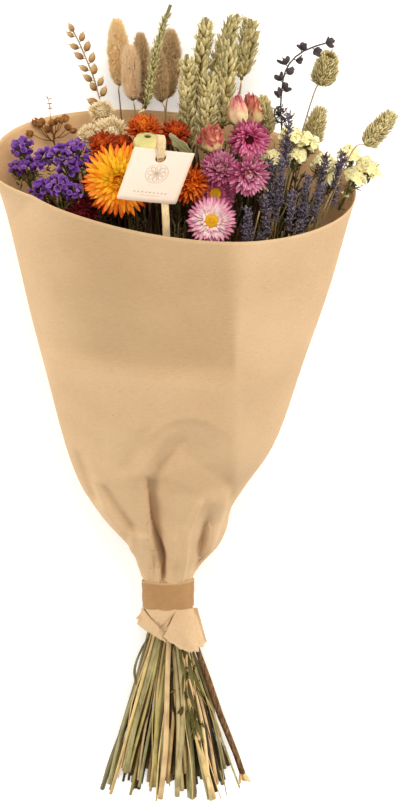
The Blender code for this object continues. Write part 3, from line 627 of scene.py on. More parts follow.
def groove(across, along, stops, deep, wide, steep=0.0):
    """A valley or ridge down the front along a bent line: a bell across it, whose left wall is sharp if
    steep is above 0, and its right wall if below. deep and wide may change along it."""
    off = across - line_at(along, *stops)
    left = wide * (1 - max(steep, 0.0))
    right = wide * (1 + min(steep, 0.0))
    ends = [stop[0] for stop in stops]
    fade = between(along, min(ends), max(ends), 5)
    return deep * fade * exp(-((off / where(off < 0, left, right)) ** 2))


# Lines of folds on the front: (along, across) stops, how high each stands (a valley is below 0), its half
# width and, for the gathers near the tie, how steep its left wall is. The second gather's depth changes.
FACET_LINES = (
    (((155, 3), (113, -20)), 2.2, 5.0),
    (((158, -9), (116, -31)), -1.4, 6.0),
    (((146, 11), (112, -7)), -1.8, 4.0),
)
GATHERS = (
    (((92, 24), (66, 15.5), (38, 13.5), (12, 9.5)), 3.4, 3.4, -0.5),
    (((96, 31), (75, 28), (52, 26), (18, 20)), -9.5, 5.5, 0.0),
    (((98, 42), (66, 38), (38, 31), (20, 25)), 3.0, 4.5, -0.4),
    (((101, -44), (84, -34), (62, -22)), -3.6, 4.2, 0.0),
    (((106, -53), (80, -43), (58, -30)), 3.0, 5.0, 0.0),
    (((124, -64), (84, -50)), -4.2, 6.5, 0.4),
    (((64, -18), (30, -15), (10, -13)), 1.2, 3.0, 0.0),
)


def front_folds(across, along):
    """How far the front stands off its plain form. It is a sum of plain folds: a tent down the right; a
    crease across the middle over a pillow; a dent that deepens and comes out as a pointed facet; a
    creased corner high on the left; and a deep valley, a lapped fold and ridges beside them towards the
    tie."""
    x, y = across, along
    share = step_up(y, 205, 300)
    tent = interp(x, [-110, -45, TENT_TOP, 110], [0, -3.4, 5.4, 0])
    smooth = interp(x, [-110, -60, TENT_TOP - 14, TENT_TOP + 14, 110], [0, -2, 2.6, 3.2, 0])
    raised = (tent * (1 - share * 0.7) + smooth * share * 0.7) * step_up(y, 86, 130)
    pillow = interp(y, [140, 172, 190, 200, 207, 212, 260, 330], [0, 1.6, 2.4, 2, -0.6, -1.2, -0.3, 0])
    raised += 1.15 * pillow * between(x, -86, 47, 7)
    bent = 137.0 - abs(x - 9.5) * where(x < 9.5, 1.1, 0.95)
    top = 166.0 - 0.022 * (x - 16) ** 2
    into = clip((top - y) / maximum(top - bent, 3), 0, 1) ** 0.8
    out = clip((bent - y) / 24, 0, 1)
    raised -= 5.4 * into * (1 - out) * between(x, -10, 45, 5)
    raised += 1.3 * exp(-(((y - top - 1.0) / 4.0) ** 2)) * between(x, -14, 34, 6)
    for stops, high, wide in FACET_LINES:
        raised += groove(x, y, stops, high, wide)
    deep = interp(y, [12, 26, 45, 60, 85, 106, 116], [7, 12, 14.5, 14.5, 12, 8, 0])
    wide = interp(y, [14, 26, 60, 110], [5, 10.5, 18, 21])
    wall = line_at(y, (118, -14.5), (94, -13.9), (57, -12), (37, -7.2), (14, -4.6))
    off = x - wall
    raised -= deep * where(
        off < 0, exp(-((off / 1.0) ** 2)), clip(1 - off / wide, 0, 1)
    ) * step_up(y, 8, 18)
    raised += 2.8 * between(x, -27, -12, 2) * between(y, 14, 61, 3) * (x < wall + 1.0)
    right_deep = interp(y, [16, 30, 46, 64, 88], [0.2, 0.5, 1, 0.75, 0])
    for number, (stops, high, wide, steep) in enumerate(GATHERS):
        raised += groove(x, y, stops, high, wide, steep) * (right_deep if number == 1 else 1.0)
    corner = (x + 100.4) * 0.797 - (y - 305) * 0.604
    creased = where(corner > 0, -3.2 * exp(-corner / 13), -3.2 - corner * 0.4)
    raised += creased * step_up(y, 262, 300) * (1 - step_up(x, -72, -34))
    return raised


def round_normals(points):
    """Directions square to rings of points (rings, around, 3) that close round."""
    wrapped = concatenate([points[:, -1:], points, points[:, :1]], axis=1)
    return unit(cross(np.gradient(wrapped, axis=0), np.gradient(wrapped, axis=1)))[:, 1:-1]


def sleeve_grid(turn, station):
    """The sleeve's outer points, where its edges get a painted highlight, and painted shade on its front.
    Turn 0 is the right side and a quarter turn the front. A row is an ellipse, flatter below, times
    pleats near the tie; finer pleats move it along its normals, and the front's folds mostly upwards."""
    share_up = clip((station - 92) / (RIM_ALONG - 92), 0, None)
    rim = RIM_ALONG - RIM_FRONT_DROP * sin(turn) - RIM_SIDE_DROP * cos(turn)
    share_down = clip((station + 13) / (SKIRT_ALONG + 13), 0, None)
    skirt = SKIRT_ALONG + 7.0 - SKIRT_SIDE_DROP * cos(turn) + 2.0 * sin(3 * turn + 1.0)
    along = clip(station, -13, 92) + share_up * (rim - 92) + share_down * (skirt + 13)
    centre, half, low, high = station_values(station)
    middle, depth = (low + high) / 2, (high - low) / 2
    gather = exp(-(((station - 48) / 30) ** 2)) * clip((station - 14) / 14, 0, 1)
    pleat = 1 + 2.6 * gather * cos(7 * turn + 0.8) / half
    across = centre + half * pleat * cos(turn)
    sine = sin(turn)
    slump = clip((station - 60) / 70, 0, 1)
    below = middle - depth * pleat * abs(sine) ** (1 - 0.15 * slump)
    up = where(sine >= 0, middle + depth * pleat * sine, maximum(0.4, below))
    points = pile(across, along, up)
    normal = round_normals(points)
    tie = step_up(station, -17, -11) * (1 - step_up(station, 10, 18))
    facing = step_up(sine, 0.02, 0.34)
    folds = front_folds(across, along) * facing * step_up(station, 6, 16)
    near = exp(-(((station - 24) / 18) ** 2)) * step_up(station, 10, 20)
    raised = near * (1.2 * abs(sin(9.5 * turn + 1.3 + station * 0.03)) - 0.6) * (1 - 0.8 * facing)
    waves = sin(turn * 3 + station * 0.035) * sin(station * 0.021 + 1.0)
    raised += 0.8 * waves * step_up(station, 60, 140) * (sine > -0.4)
    raised += (1 - step_up(station, -20, -14)) * (1.6 * sin(turn * 5 + 0.5) * abs(station + 13) / 20)
    upward = unit(normal * 0.4 + [0.0, 0.0, 0.6])
    points = points + (normal * raised[..., None] + upward * folds[..., None]) * (1 - tie)[..., None]
    # The rim and the skirt's end get a painted highlight along their edges.
    edge = step_up(station, RIM_ALONG - 3, RIM_ALONG) + (1 - step_up(station, SKIRT_ALONG, SKIRT_ALONG + 2))
    # Painted shade on the front panel left of the long fold: faint near the tie, least just under the crease,
    # strongest above it.
    soft = 2 + 9 * step_up(along, 205, 300)
    double = 1 - step_up(across, TENT_TOP - soft, TENT_TOP + soft)
    double = double * step_up(across, -96, -40) * facing * step_up(along, 96, 104)
    double = double * interp(along, [100, 195, 207, 330], [0.3, 0.04, 0.92, 0.96])
    return points, clip(edge * 0.8, 0, 1), double


def paper_sleeve():
    """The sleeve: its outer grid, closed round the bouquet, and the same grid moved in by the paper's
    thickness. Columns are closer on the front and rows closer near the tie."""
    around, rows = 224, 164
    turn = evenly_round(around)
    turn = turn + 0.42 * cos(turn)
    share = steps(rows)
    station = SKIRT_ALONG + (RIM_ALONG - SKIRT_ALONG) * (share * 0.55 + 0.45 * share**1.7)
    turn, station = np.meshgrid(turn, station)
    outer, worn, double = sleeve_grid(turn, station)
    normal = round_normals(outer)
    normal *= np.sign((normal * (outer - outer.mean(axis=1, keepdims=True))).sum(-1, keepdims=True))
    points = stack([outer, outer - normal * PAPER_SHEET]).reshape(-1, 3) + FOOT
    out_faces = ring_faces(rows, around)
    size = rows * around
    ends = arange(around)
    after = (ends + 1) % around
    top = (rows - 1) * around
    low_edge = pile(ends, ends + size, after + size, after)
    high_edge = pile(top + ends, top + after, top + after + size, top + ends + size)
    quads = concatenate([out_faces, out_faces[:, ::-1] + size, low_edge, high_edge])
    # Painted light on the inner face, rising from the middle of the sleeve to its mouth.
    inside = step_up(station, 150, 230)
    painted = {"worn": (worn, worn), "double": (double, double), "inside": (inside * 0, inside)}
    paint = {name: stack(sides).reshape(1, -1) for name, sides in painted.items()}
    return [copies(points[None], quads, NO_TRIS, paint)]


def skirt_flaps():
    """The folded paper below the band: four flaps. Each is a straight-sided patch between four corners
    (across, along), laid on the skirt's section, lifted, and rippled by sines."""
    flaps = (
        ((-16.5, -7.0), (7.5, -5.0), (-0.5, -18.5), (-9.0, -18.5), 0.8, 1.2),
        ((-19.0, -6.5), (-22.5, -18.5), (-0.5, -30.5), (-3.0, -22.0), 3.0, 1.0),
        ((6.8, -5.5), (18.6, -6.5), (22.6, -37.5), (-3.4, -25.0), 4.6, 1.8),
        ((17.4, -7.5), (21.4, -7.0), (28.2, -34.5), (21.6, -36.5), -1.0, 0.2),
    )
    rows, columns = 26, 26
    u, v = np.meshgrid(steps(columns), steps(rows))
    grids = []
    for number, (*corners, lift, bulge) in enumerate(flaps):
        a, b, c, d = array(corners)
        upper = a * ((1 - u) * (1 - v))[..., None] + b * (u * (1 - v))[..., None]
        plan = upper + (c * (u * v)[..., None] + d * ((1 - u) * v)[..., None])
        bow = sin(pi * u) * sin(pi * v)
        edge = 0.5 * sin(u * 9 + number) * v**3 + 0.35 * sin(u * 23 + number * 2) * v**4
        x, y = plan[..., 0], plan[..., 1] - edge - (3.0 if number == 2 else 1.2) * sin(pi * u) * v**2
        centre, half, low, high = station_values(minimum(y, -13.0))
        inside = clip(1 - ((x - centre) / (half + 0.6 + 2.4 * step_up(-y, 9, 16))) ** 2, 0.02, 1)
        y = y - 4.6 * (1 - sqrt(inside))
        z = (low + high) / 2 + (high - low) / 2 * sqrt(inside) + lift * step_up(-y, 8, 17) + bulge * bow
        z = z + 0.5 * sin(x * 0.55 + y * 0.3 + number) * v + 0.35 * sin(x * 1.3 - y * 0.8) * v
        grids.append(pile(x, y, z) + FOOT)
    # The flaps' lower edges get a painted highlight.
    return [sheets(array(grids), PAPER_SHEET, worn=(v > 0.95) * 0.8)]


def paper_band():
    """The band: a strip once round the tie that laps over its start. Its reach grows by its thickness where
    it laps, its edges wave by sines, it sits higher in front, and shallow crumples cross it."""
    low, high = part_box("paper_band")
    half = (array(high) - array(low)) / (2 * MM) - 0.3
    rows, columns = 21, 200
    lap, start = 0.62, math.radians(62)
    share = steps(columns)[None]
    side = linspace(-1, 1, rows)[:, None]
    turn = start - share * (tau + lap)
    begin = 1 - lap / (tau + lap)
    lift = 0.75 * step_up(share, begin - 0.03, begin + 0.01) + 0.7 * step_up(share, 0.985, 1) - 0.55
    lift = lift + 0.16 * sin(turn * 6 + side * 1.5) * (0.4 + 0.6 * side**2)
    lift = lift + 0.22 * abs(sin(turn * 5.0 + side * 0.7)) * sin(side * 2.2 + turn * 2)
    lift = lift + 0.12 * sin(side * 7 + turn * 9)
    along = side * (half[1] - 0.6) * (1 - 0.03 * cos(turn * 2 + 0.4) ** 2) + 0.4 * sin(turn * 3.0)
    slant = 4.6 * sin(turn) + 0.6 * cos(turn + 0.5)
    points = pile((half[0] + lift) * cos(turn), along + slant, (half[2] + lift) * sin(turn))
    # The band's long edges get a painted highlight.
    return [sheets((points + TIE)[None], 0.55, worn=(abs(side) > 0.9) * 0.6)]


# ---- stems

STEM_COLOURS = (
    "0:eac688 0.14:aca25c 0.28:f6d6a0 0.42:909262 "
    "0.55:e8be82 0.68:868442 0.82:f0c290 1:9e9e70"
)
TAIL_REACH = 128.0  # solid stems have nothing but their cut ends this far behind the tie
SLOT_MIDDLE, SLOT_REACH = array([-1.4, 0.0, 0.0]), 9.5  # the bunch where it passes the tie
TAIL_MIDDLE = array([-11.0, 0.0, -6.0])  # the bunch at its cut ends, from the tie's middle
TAIL_SPREAD = array([5.0, 1.9])


def cut_ends():
    """The stems' cut ends: the means of the solid's furthest points that stand close together."""
    points, _ = solid("stems")
    ends = points[points[:, 1] < TIE[1] - TAIL_REACH]
    return array([ends[found].mean(axis=0) for found in groups(ends, 2.6)])


def stem_tubes(stops, thick, tone, around=7, bends=1.2, seed=3, count=18, tier=1.0):
    """Stems on smooth routes, with slow bends of their own."""
    draw = default_rng(seed)
    routes = smooth_routes(stops, count)
    share = steps(count)[None, :, None]
    phase = draw.uniform(0, tau, (len(stops), 1, 3))
    sway = sin(share * draw.uniform(3, 9, (len(stops), 1, 3)) + phase) * sin(pi * share)
    return tubes(routes + sway * bends * array([1.0, 0.2, 0.6]), thick, around, tone, tier)


def lower_stems():
    """The stems below the tie, from their cut ends; thin ones that stray at the left; and grass blades."""
    draw = default_rng(11)
    ends = cut_ends()
    off = (ends - TIE - TAIL_MIDDLE)[:, [0, 2]] / TAIL_SPREAD
    cosine, sine = math.cos(-0.3), math.sin(-0.3)
    slot = pile(off[:, 0] * cosine - off[:, 1] * sine, off[:, 0] * 0, off[:, 0] * sine + off[:, 1] * cosine)
    reach = maximum(norm(slot, axis=1, keepdims=True), 1e-6)
    slot = TIE + SLOT_MIDDLE + slot * minimum(1.0, SLOT_REACH / reach)
    low, high = slot + [0.0, -20.0, 0.0], slot + [0.0, 16.0, 0.0]
    bend = low * 0.45 + ends * 0.55 + draw.normal(0, 1.8, ends.shape) * [1.0, 0.2, 0.9]
    stops = stack([ends, bend, low, high], axis=1)
    thick = draw.uniform(2, 4.3, len(ends))[:, None] * linspace(1, 0.84, 18)
    # Painted shade: the lower a stem's cut end lies in the pile, the lower its tier and the darker it is.
    depth = step_up(ends[:, 2], *np.quantile(ends[:, 2], [0.05, 0.85]))
    main = stem_tubes(stops, thick, draw.random(len(ends)), 7, 1.6, tier=0.25 + 0.75 * depth[:, None])
    stray = 9
    below = TIE[1] - 152.0 + 30.0 * draw.random(stray) ** 2
    tips = pile(TIE[0] - linspace(44, 26, stray), below, linspace(6, 14, stray))
    roots = linspace((-9, -14, -3), (-6, -14, 3), stray) + (TIE + SLOT_MIDDLE)
    middle = tips * 0.5 + roots * 0.5 + draw.normal(0, 2.2, tips.shape) * [1.0, 0.3, 0.8]
    thin = stem_tubes(
        stack([tips, middle, roots], 1), draw.uniform(0.7, 1.5, (stray, 1)), draw.random(stray), 6, 1.4,
        15, 14
    )
    more = 26
    pick = draw.integers(0, len(ends), more)
    tips = ends[pick] + draw.normal(0, 1, (more, 3)) * [7.0, 14.0, 3.0]
    tips[:, 2] = maximum(tips[:, 2], 2.0)
    tips[:, 1] = maximum(tips[:, 1], ends[:, 1].min() + 2.0)
    roots = slot[pick] + [0.0, -10.0, 0.0]
    stops = stack([tips, tips * 0.5 + roots * 0.5 + draw.normal(0, 2, tips.shape), roots], axis=1)
    fine = stem_tubes(stops, draw.uniform(0.7, 1.5, (more, 1)), draw.random(more) * 0.6, 5, 2.5, 12, 14)
    # Painted shade: a layer of stems at the lowest tier, below the others, stands for the shade under the
    # bunch.
    under = ends + draw.normal(0, 1, ends.shape) * [2.5, 5.0, 0.0]
    under[:, 2] = clip(ends[:, 2] - 7.0, 2.2, None)
    under[:, 1] = maximum(under[:, 1], ends[:, 1].min() + 4.0)
    stops = stack([under, low * 0.45 + under * 0.55, low - [0.0, 0.0, 2.0]], axis=1)
    dark = stem_tubes(
        stops, draw.uniform(2, 3.4, (len(ends), 1)), draw.random(len(ends)), 6, 1.8, 31, 14, tier=0.0
    )
    bent = [
        (-13.5, -34.0, 0.0), (-19.5, -44.0, 2.0), (-25.0, -62.0, 3.0), (-21.0, -84.0, 2.0),
        (-22.0, -100.0, -2.0)
    ]
    flat = smooth_routes((array(bent) + TIE)[None], 24)[0]
    over = linspace(-1, 1, 5) * 0.9
    wide = interp(steps(24), [0, 0.3, 0.8, 1], [0.5, 1.1, 1.2, 0.3])
    grid = flat[:, None] + array([0.94, 0.1, 0.3]) * (over[None] * wide[:, None])[..., None]
    blade = sheets(grid[None], 0.4, along=steps(24)[None, :, None], tone=0.68, tier=0.5)
    return [main, thin, fine, dark, blade]


def upper_stems(seats, axes, thick):
    """The stems from the tie up to each head, through the sleeve, each as thick as given."""
    draw = default_rng(21)
    tie = TIE + SLOT_MIDDLE
    off = (seats - TIE)[:, [0, 2]] / [118.0, 62.0]
    slot = pile(off[:, 0] * 9.0, off[:, 0] * 0, (off[:, 1] - 0.6) * 9.0)
    slot = tie + slot.clip(-SLOT_REACH, SLOT_REACH)
    elbow = seats - axes * 24.0
    stops = stack([slot, slot * 0.45 + elbow * 0.55, elbow, seats + axes * 1.2], axis=1)
    tone = where(thick < 1.8, 0.28, draw.random(len(seats)))
    # Painted shade: stems are darkened to a low tier inside the sleeve, and thin stems of spikes return to
    # full colour where they stand bare above the rim.
    bare = where(thick < 1.8, 1.0, 0.3)[:, None]
    tier = 0.3 + (bare - 0.3) * step_up(steps(22), 0.72, 0.9)
    return [stem_tubes(stops, thick[:, None], tone, 6, 0.6, 22, 20, tier)]


def woody():
    """The thick dark stem: a knobbly tube along the solid's own line, with a split pale end."""
    points, _ = samples("woody_stem", 900, 5)
    low = points[np.argmin(points[:, 1])]
    line = centre_line(points, low, 26, 1)
    draw = default_rng(5)
    thick = interp(steps(26), [0, 0.25, 1], [5, 4.4, 2.4]) * (1 + 0.1 * draw.normal(0, 1, 26))
    line = line + draw.normal(0, 0.35, line.shape) * [1, 0.2, 1]
    stem = tubes(line[None], thick[None], 10, 0.5)
    split = 11
    turn = evenly_round(split)
    ring = pile(cos(turn), turn * 0, sin(turn))
    ahead = np.broadcast_to(unit(line[0] - line[2]), ring.shape) + ring * draw.uniform(0.1, 0.7, (split, 1))
    chips = blades(
        line[0] + ring * 1.3 - unit(line[0] - line[2]) * 2.0, unit(ahead), ring, draw.uniform(5, 11, split),
        3, 1.1, 0, 0, (0.5, 0.7), (5, 6), 0.5, 1.0
    )
    return [stem, chips]


# ---- spikes


def core(line, radius, widest, blunt, around=12, tone=0.5, tier=0.0):
    """A plain rounded body along a line, under a bloom's petals."""
    half = outline(linspace(0.02, 0.98, len(line)), widest, blunt)
    return tubes(line[None], (2 * radius * half)[None], around, tone, tier)


class Spike(Head):
    """A head that is longer than it is wide, with the line through its middle."""

    def __init__(self, points, stops=12):
        super().__init__(points)
        self.line = centre_line(points, self.foot, stops)

    def at(self, share):
        """The point of the line at each share of its length, and the way the line runs there."""
        place = clip(share, 0, 1) * (len(self.line) - 1)
        index = minimum(place.astype(int), len(self.line) - 2)
        step = self.line[index + 1] - self.line[index]
        return self.line[index] + step * (place - index)[:, None], unit(step)

    def round_points(self, share, turns, reach):
        """Points round the line: where each is, the way the line runs there, and the way out from it."""
        middle, ahead = self.at(share)
        side = unit(cross(ahead, [0.21, 0.16, 0.97]))
        other = cross(ahead, side)
        out = side * cos(turns)[:, None] + other * sin(turns)[:, None]
        return middle + out * np.broadcast_to(reach, share.shape)[:, None], ahead, out


def spike_of(node, seed):
    """The spike that a long solid stands for, and the random draws of its pieces."""
    return Spike(samples(node, 700, seed)[0]), default_rng(seed)


def bunny_tail(node, seed):
    """A soft oval head: a core under thousands of fine hairs that lean along it and hide its ends."""
    spike, draw = spike_of(node, seed)
    count = 5000
    share, turns = spiral(count)
    share, turns = share * 0.9 + 0.005, turns + draw.normal(0, 0.3, count)
    body = spike.radius * 0.78
    places = [0, 0.06, 0.22, 0.46, 0.64, 0.78, 0.88, 1.0]
    form = interp(share, places, [0.24, 0.48, 0.82, 1, 0.88, 0.6, 0.26, 0.02])
    form = form * (1 + 0.07 * sin(turns * 3 + share * 11 + seed))
    root, ahead, out = spike.round_points(share, turns, body * form * 0.86)
    lean = 0.44 + 0.75 * draw.random(count) - 0.2 * share - 1.2 * clip(share - 0.72, 0, 1)
    way = unit(ahead + out * lean[:, None] + draw.normal(0, 0.14, (count, 3)))
    length = draw.uniform(3.4, 7.4, count) * interp(share, [0, 0.7, 1], [1, 1, 0.95])
    tone = clip(0.5 + 0.22 * sin(turns * 2.0 + share * 9) + draw.normal(0, 0.22, count), 0, 1)
    bend = draw.normal(-0.2, 0.35, count)
    tier = 0.6 + 0.4 * draw.random(count)
    hairs = blades(root, way, out, length, 0.42, 0.34, bend, 0, (0.3, 0.5), (1, 3), tone, tier)
    line = spike.line[:-1]
    places = [0, 0.06, 0.22, 0.48, 0.68, 0.84, 1.0]
    half = interp(steps(len(line)), places, [0.2, 0.42, 0.74, 0.92, 0.78, 0.42, 0.04])
    thick = 2 * body * half
    return [tubes(line[None], thick[None], 14, 0.4, 0.5), hairs]


# The husks of one wheat spikelet: how far each swings to its side, how far it leans out, and its size.
WHEAT_FAN = (
    (-1.57, 0.42, 0.8), (1.57, 0.42, 0.8), (-1.05, 0.62, 0.96), (1.05, 0.62, 0.96), (-0.5, 0.8, 1.0),
    (0.5, 0.8, 1.0), (0.0, 0.5, 1.12), (0.0, 1.0, 0.86), (-1.9, 0.66, 0.7), (1.9, 0.66, 0.7),
)


def wheat(node, seed, fuller):
    """A wheat ear: spikelets on two sides of the stalk in turn, each a fan of plump pointed husks."""
    spike, draw = spike_of(node, seed)
    spikelets = int(spike.length / 2.5)
    share = 0.01 + 0.9 * spiral(spikelets)[0]
    grown = interp(share, [0, 0.12, 0.5, 0.82, 1], [0.7, 0.96, 1, 0.86, 0.6])
    side_turn = draw.uniform(0, pi) + pi * (arange(spikelets) % 2)
    side_turn = side_turn + 0.14 * draw.normal(0, 1, spikelets)
    parts = [tubes(spike.line[None], np.full((1, len(spike.line)), 2.6), 6, 0.3, 0)]
    reach = min(spike.radius, 6.6) * fuller
    for swing, lean, size in WHEAT_FAN:
        turns = side_turn + swing + draw.normal(0, 0.16, spikelets)
        root, ahead, out = spike.round_points(
            share + draw.normal(0, 0.008, spikelets), turns, 0.18 * reach * grown
        )
        lean = lean + draw.normal(0, 0.12, spikelets)
        way = unit(ahead * cos(lean)[:, None] + out * sin(lean)[:, None] + draw.normal(0, 0.07, root.shape))
        length = reach * 0.88 * size * grown * draw.uniform(0.85, 1.1, spikelets)
        wide = 0.3 * reach * grown * draw.uniform(0.8, 1.1, spikelets)
        tone = mottled(draw, 0.5, 0.3, spikelets)
        tier = 0.25 + 0.75 * draw.random(spikelets)
        parts.append(
            blades(root, way, out, length, wide, wide * 0.66, -0.5, 0.15, (0.4, 0.6), (4, 5), tone, tier)
        )
        tip = root + way * length[:, None] * 0.88
        awn = draw.uniform(1, 3.8, spikelets)
        parts.append(
            blades(tip, unit(way + ahead * 0.6), out, awn, 0.5, 0.4, 0, 0, (0.3, 0.5), (1, 3), 0.9, 1)
        )
    return parts


def canary_grass(node, seed, plump):
    """An oval head of narrow pointed scales in an upward spiral, with their tips standing off."""
    spike, draw = spike_of(node, seed)
    count = 400
    share, turns = spiral(count)
    share = share * 0.86
    body = spike.radius * 0.66 * plump
    form = interp(share, [0, 0.08, 0.35, 0.65, 0.85, 1], [0.5, 0.84, 1, 0.88, 0.55, 0.2])
    root, ahead, out = spike.round_points(share, turns, body * form * 0.86)
    lean = interp(share, [0, 0.4, 0.9], [1, 0.72, 0.25]) + draw.normal(0, 0.12, count)
    way = unit(ahead + out * lean[:, None] + draw.normal(0, 0.1, root.shape))
    length = minimum(spike.length * 0.22, 5.6) * draw.uniform(0.8, 1.2, count) * (1 - 0.2 * share)
    tone = mottled(draw, 0.5, 0.3, count)
    tier = 0.2 + 0.8 * draw.random(count)
    scales = blades(root, way, out, length, 1.6, 0.7, 0.1, 0.35, (0.46, 0.8), (3, 4), tone, tier)
    line = spike.line[:-2]
    half = interp(linspace(0, 0.84, len(line)), [0, 0.08, 0.35, 0.65, 1], [0.4, 0.8, 1, 0.88, 0.25])
    thick = 2 * body * 0.84 * half
    return [tubes(line[None], thick[None], 12, 0.3, 0.1), scales]


def spike_buds(spike, seed, count, body, size, lean):
    """Plump ribbed buds in whorls up a spike, looser low down, with a few small open lips."""
    draw = default_rng(seed)
    rounds = 7
    whorl = arange(count) // rounds
    whorls = whorl.max() + 1
    share = ((whorl + 0.35) / whorls) ** 0.85 * 0.95 + draw.normal(0, 0.014, count)
    turns = tau * (arange(count) % rounds) / rounds + whorl * 0.4 + draw.normal(0, 0.3, count)
    grown = interp(share, [0, 0.3, 0.8, 1], [0.85, 1, 0.92, 0.75])
    root, ahead, out = spike.round_points(share, turns, body * 0.35)
    lean = lean + draw.normal(0, 0.2, count)
    way = unit(ahead * cos(lean)[:, None] + out * sin(lean)[:, None])
    length, width = size
    long = length * grown * draw.uniform(0.7, 1.15, count)
    tone = mottled(draw, 0.5, 0.35, count)
    buds = blades(
        root, way, out, long, width, width * 0.85, 0.2, 0, (0.6, 0.45), (3, 5), tone, draw.random(count)
    )
    parts = [buds]
    tips = root + way * (long * 0.86)[:, None]
    for _ in range(3):
        go = unit(way + draw.normal(0, 0.5, way.shape))
        keep = draw.random(count) < 0.4
        tone = draw.random(keep.sum())
        lips = blades(tips[keep], go[keep], out[keep], 1.9, 1.2, 0.4, 0.3, 0.2, (0.6, 0.6), (2, 5), tone, 1)
        parts.append(lips)
    return parts


# ---- round blooms


def bloom_of(node, seed):
    """The head that a round solid stands for, and the random draws of its pieces."""
    return Head(solid(node)[0]), default_rng(seed)


def rings_of_petals(head, draw, layers, width, thick, bend, cup, shape, grid, mess=0.06, aged=0.0):
    """Layers of petals, each (petals, root reach, root height, lean, length) in radii of the bloom. Petals
    that point to the stems are older by `aged`."""
    parts = []
    for tier, (petals, reach, height, lean, length) in enumerate(layers):
        turns = tau * (arange(petals) + 0.5 * (tier % 2)) / petals + draw.normal(0, 0.35 / petals, petals)
        lean = lean + draw.normal(0, mess, petals)
        root, ahead, face = head.whorl(turns, reach * head.radius, height * head.radius, lean)
        sizes = length * head.radius * draw.uniform(0.9, 1.06, petals)
        share = tier / max(1, len(layers) - 1)
        tone = clip(draw.normal(0.4, 0.24, petals) - aged * ahead[:, 1], 0, 1)
        bends = bend[0] * (1 - share) + bend[1] * share + draw.normal(0, 0.12, petals)
        twist = draw.normal(0, 0.12, petals)[:, None] * cross(ahead, face)
        wide = width * (1 - 0.25 * share) * draw.uniform(0.85, 1.12, petals)
        parts.append(
            blades(
                root, ahead, unit(face + twist), sizes, wide, thick, bends, cup, shape, grid, tone, share
            )
        )
    return parts


def strawflower_large(node, seed):
    """The open gold bloom: seven layers of stiff pointed bracts round a small dark cone."""
    head, draw = bloom_of(node, seed)
    layers = (
        (30, 0.2, 0.0, 0.0, 0.88),
        (36, 0.18, 0.04, 0.16, 0.9),
        (38, 0.16, 0.08, 0.32, 0.84),
        (34, 0.14, 0.11, 0.5, 0.72),
        (28, 0.12, 0.13, 0.74, 0.58),
        (20, 0.09, 0.13, 1.0, 0.42),
        (14, 0.06, 0.13, 1.24, 0.3),
    )
    petals = rings_of_petals(
        head, draw, layers, 3.7, 0.5, (-0.2, 0.55), 0.45, (0.5, 0.62), (6, 6), 0.12, 0.4
    )
    reach, turns = spiral(60)
    reach = sqrt(reach)
    root, ahead, face = head.whorl(
        turns, reach * 3.4, head.radius * 0.19 + (1 - reach) * 1.2, 1.45 - 0.5 * reach
    )
    middle = blades(root, ahead, face, 3, 0.9, 0.8, 0, 0, (0.5, 0.5), (2, 5), 0, -0.6)
    return petals + [middle]


def strawflower_small(node, seed, plump):
    """A full ragged bloom: narrow bracts in a spiral dome, the outer flat and the inner upright."""
    head, draw = bloom_of(node, seed)
    count = 230
    share, turns = spiral(count)
    turns = turns + draw.normal(0, 0.12, count)
    radius = head.radius * plump
    lean = interp(share, [0, 0.4, 1], [0, 0.62, 1.45]) + draw.normal(0, 0.2, count)
    root, ahead, face = head.whorl(
        turns, radius * 0.42 * (1 - share) ** 0.7, radius * (0.05 + 0.32 * share), lean
    )
    length = radius * interp(share, [0, 0.5, 1], [0.8, 0.74, 0.5]) * draw.uniform(0.75, 1.15, count)
    face = unit(face + draw.normal(0, 0.4, face.shape))
    bend = draw.normal(0.3, 0.55, count)
    tone = mottled(draw, 0.42, 0.32, count)
    width = draw.uniform(1.5, 2.4, count)
    petals = blades(root, ahead, face, length, width, 0.4, bend, 0.5, (0.54, 0.68), (4, 6), tone, share)
    return [petals, core(head.stalk(-0.4, radius * 0.6, 6), radius * 0.46, 0.45, 0.5, 12, 1.0)]


def daisy(node, seed, open_by):
    """A paper daisy: layers of narrow pointed petals. open_by adds to how steeply they stand."""
    head, draw = bloom_of(node, seed)
    layers = (
        (30, 0.2, 0.12, 0.12 + open_by * 0.35, 0.94),
        (34, 0.2, 0.16, 0.28 + open_by * 0.6, 0.9),
        (34, 0.19, 0.19, 0.48 + open_by * 0.8, 0.76),
        (22, 0.17, 0.22, 0.78 + open_by, 0.52),
    )
    bend = (-0.25 + open_by * 0.5, 0.2 + open_by * 0.3)
    petals = rings_of_petals(
        head, draw, layers, 2.7, 0.36, bend, 0.45, (0.58, 0.74), (5, 6), 0.12 + 0.12 * open_by
    )
    return petals + [core(head.stalk(0.1, head.radius * 0.34, 5), head.radius * 0.26, 0.55, 0.4, 12, 0.6)]


def disc_on(head, radius, height, seat, seed):
    """A domed disc of small upright florets in a spiral."""
    draw = default_rng(seed)
    count = 190
    reach, turns = spiral(count)
    reach = sqrt(reach)
    rise = seat + height * (1 - reach**2.2)
    root, ahead, face = head.whorl(turns, reach * radius * 0.93, rise - 0.9, 1.5 - 0.6 * reach)
    florets = blades(
        root, ahead, face, 1.7, 0.62, 0.6, 0, 0, (0.6, 0.4), (2, 5), draw.random(count), 1 - reach
    )
    turn = evenly_round(20)
    fall = linspace(0.05, 1, 7)[:, None] * pi / 2
    ring = pile(sin(fall) * cos(turn), sin(fall) * sin(turn), cos(fall) + turn * 0)
    dome = head.place(ring * [radius, radius, height] + [0, 0, seat - 0.2])
    foot, tip = head.place(array([(0, 0, seat - 0.7), (0, 0, seat - 0.2 + height)]))
    body = loft(dome[None, ::-1], foot[None], tip[None], along=0.2, tone=0.5, tier=0.0)
    return [body, florets]


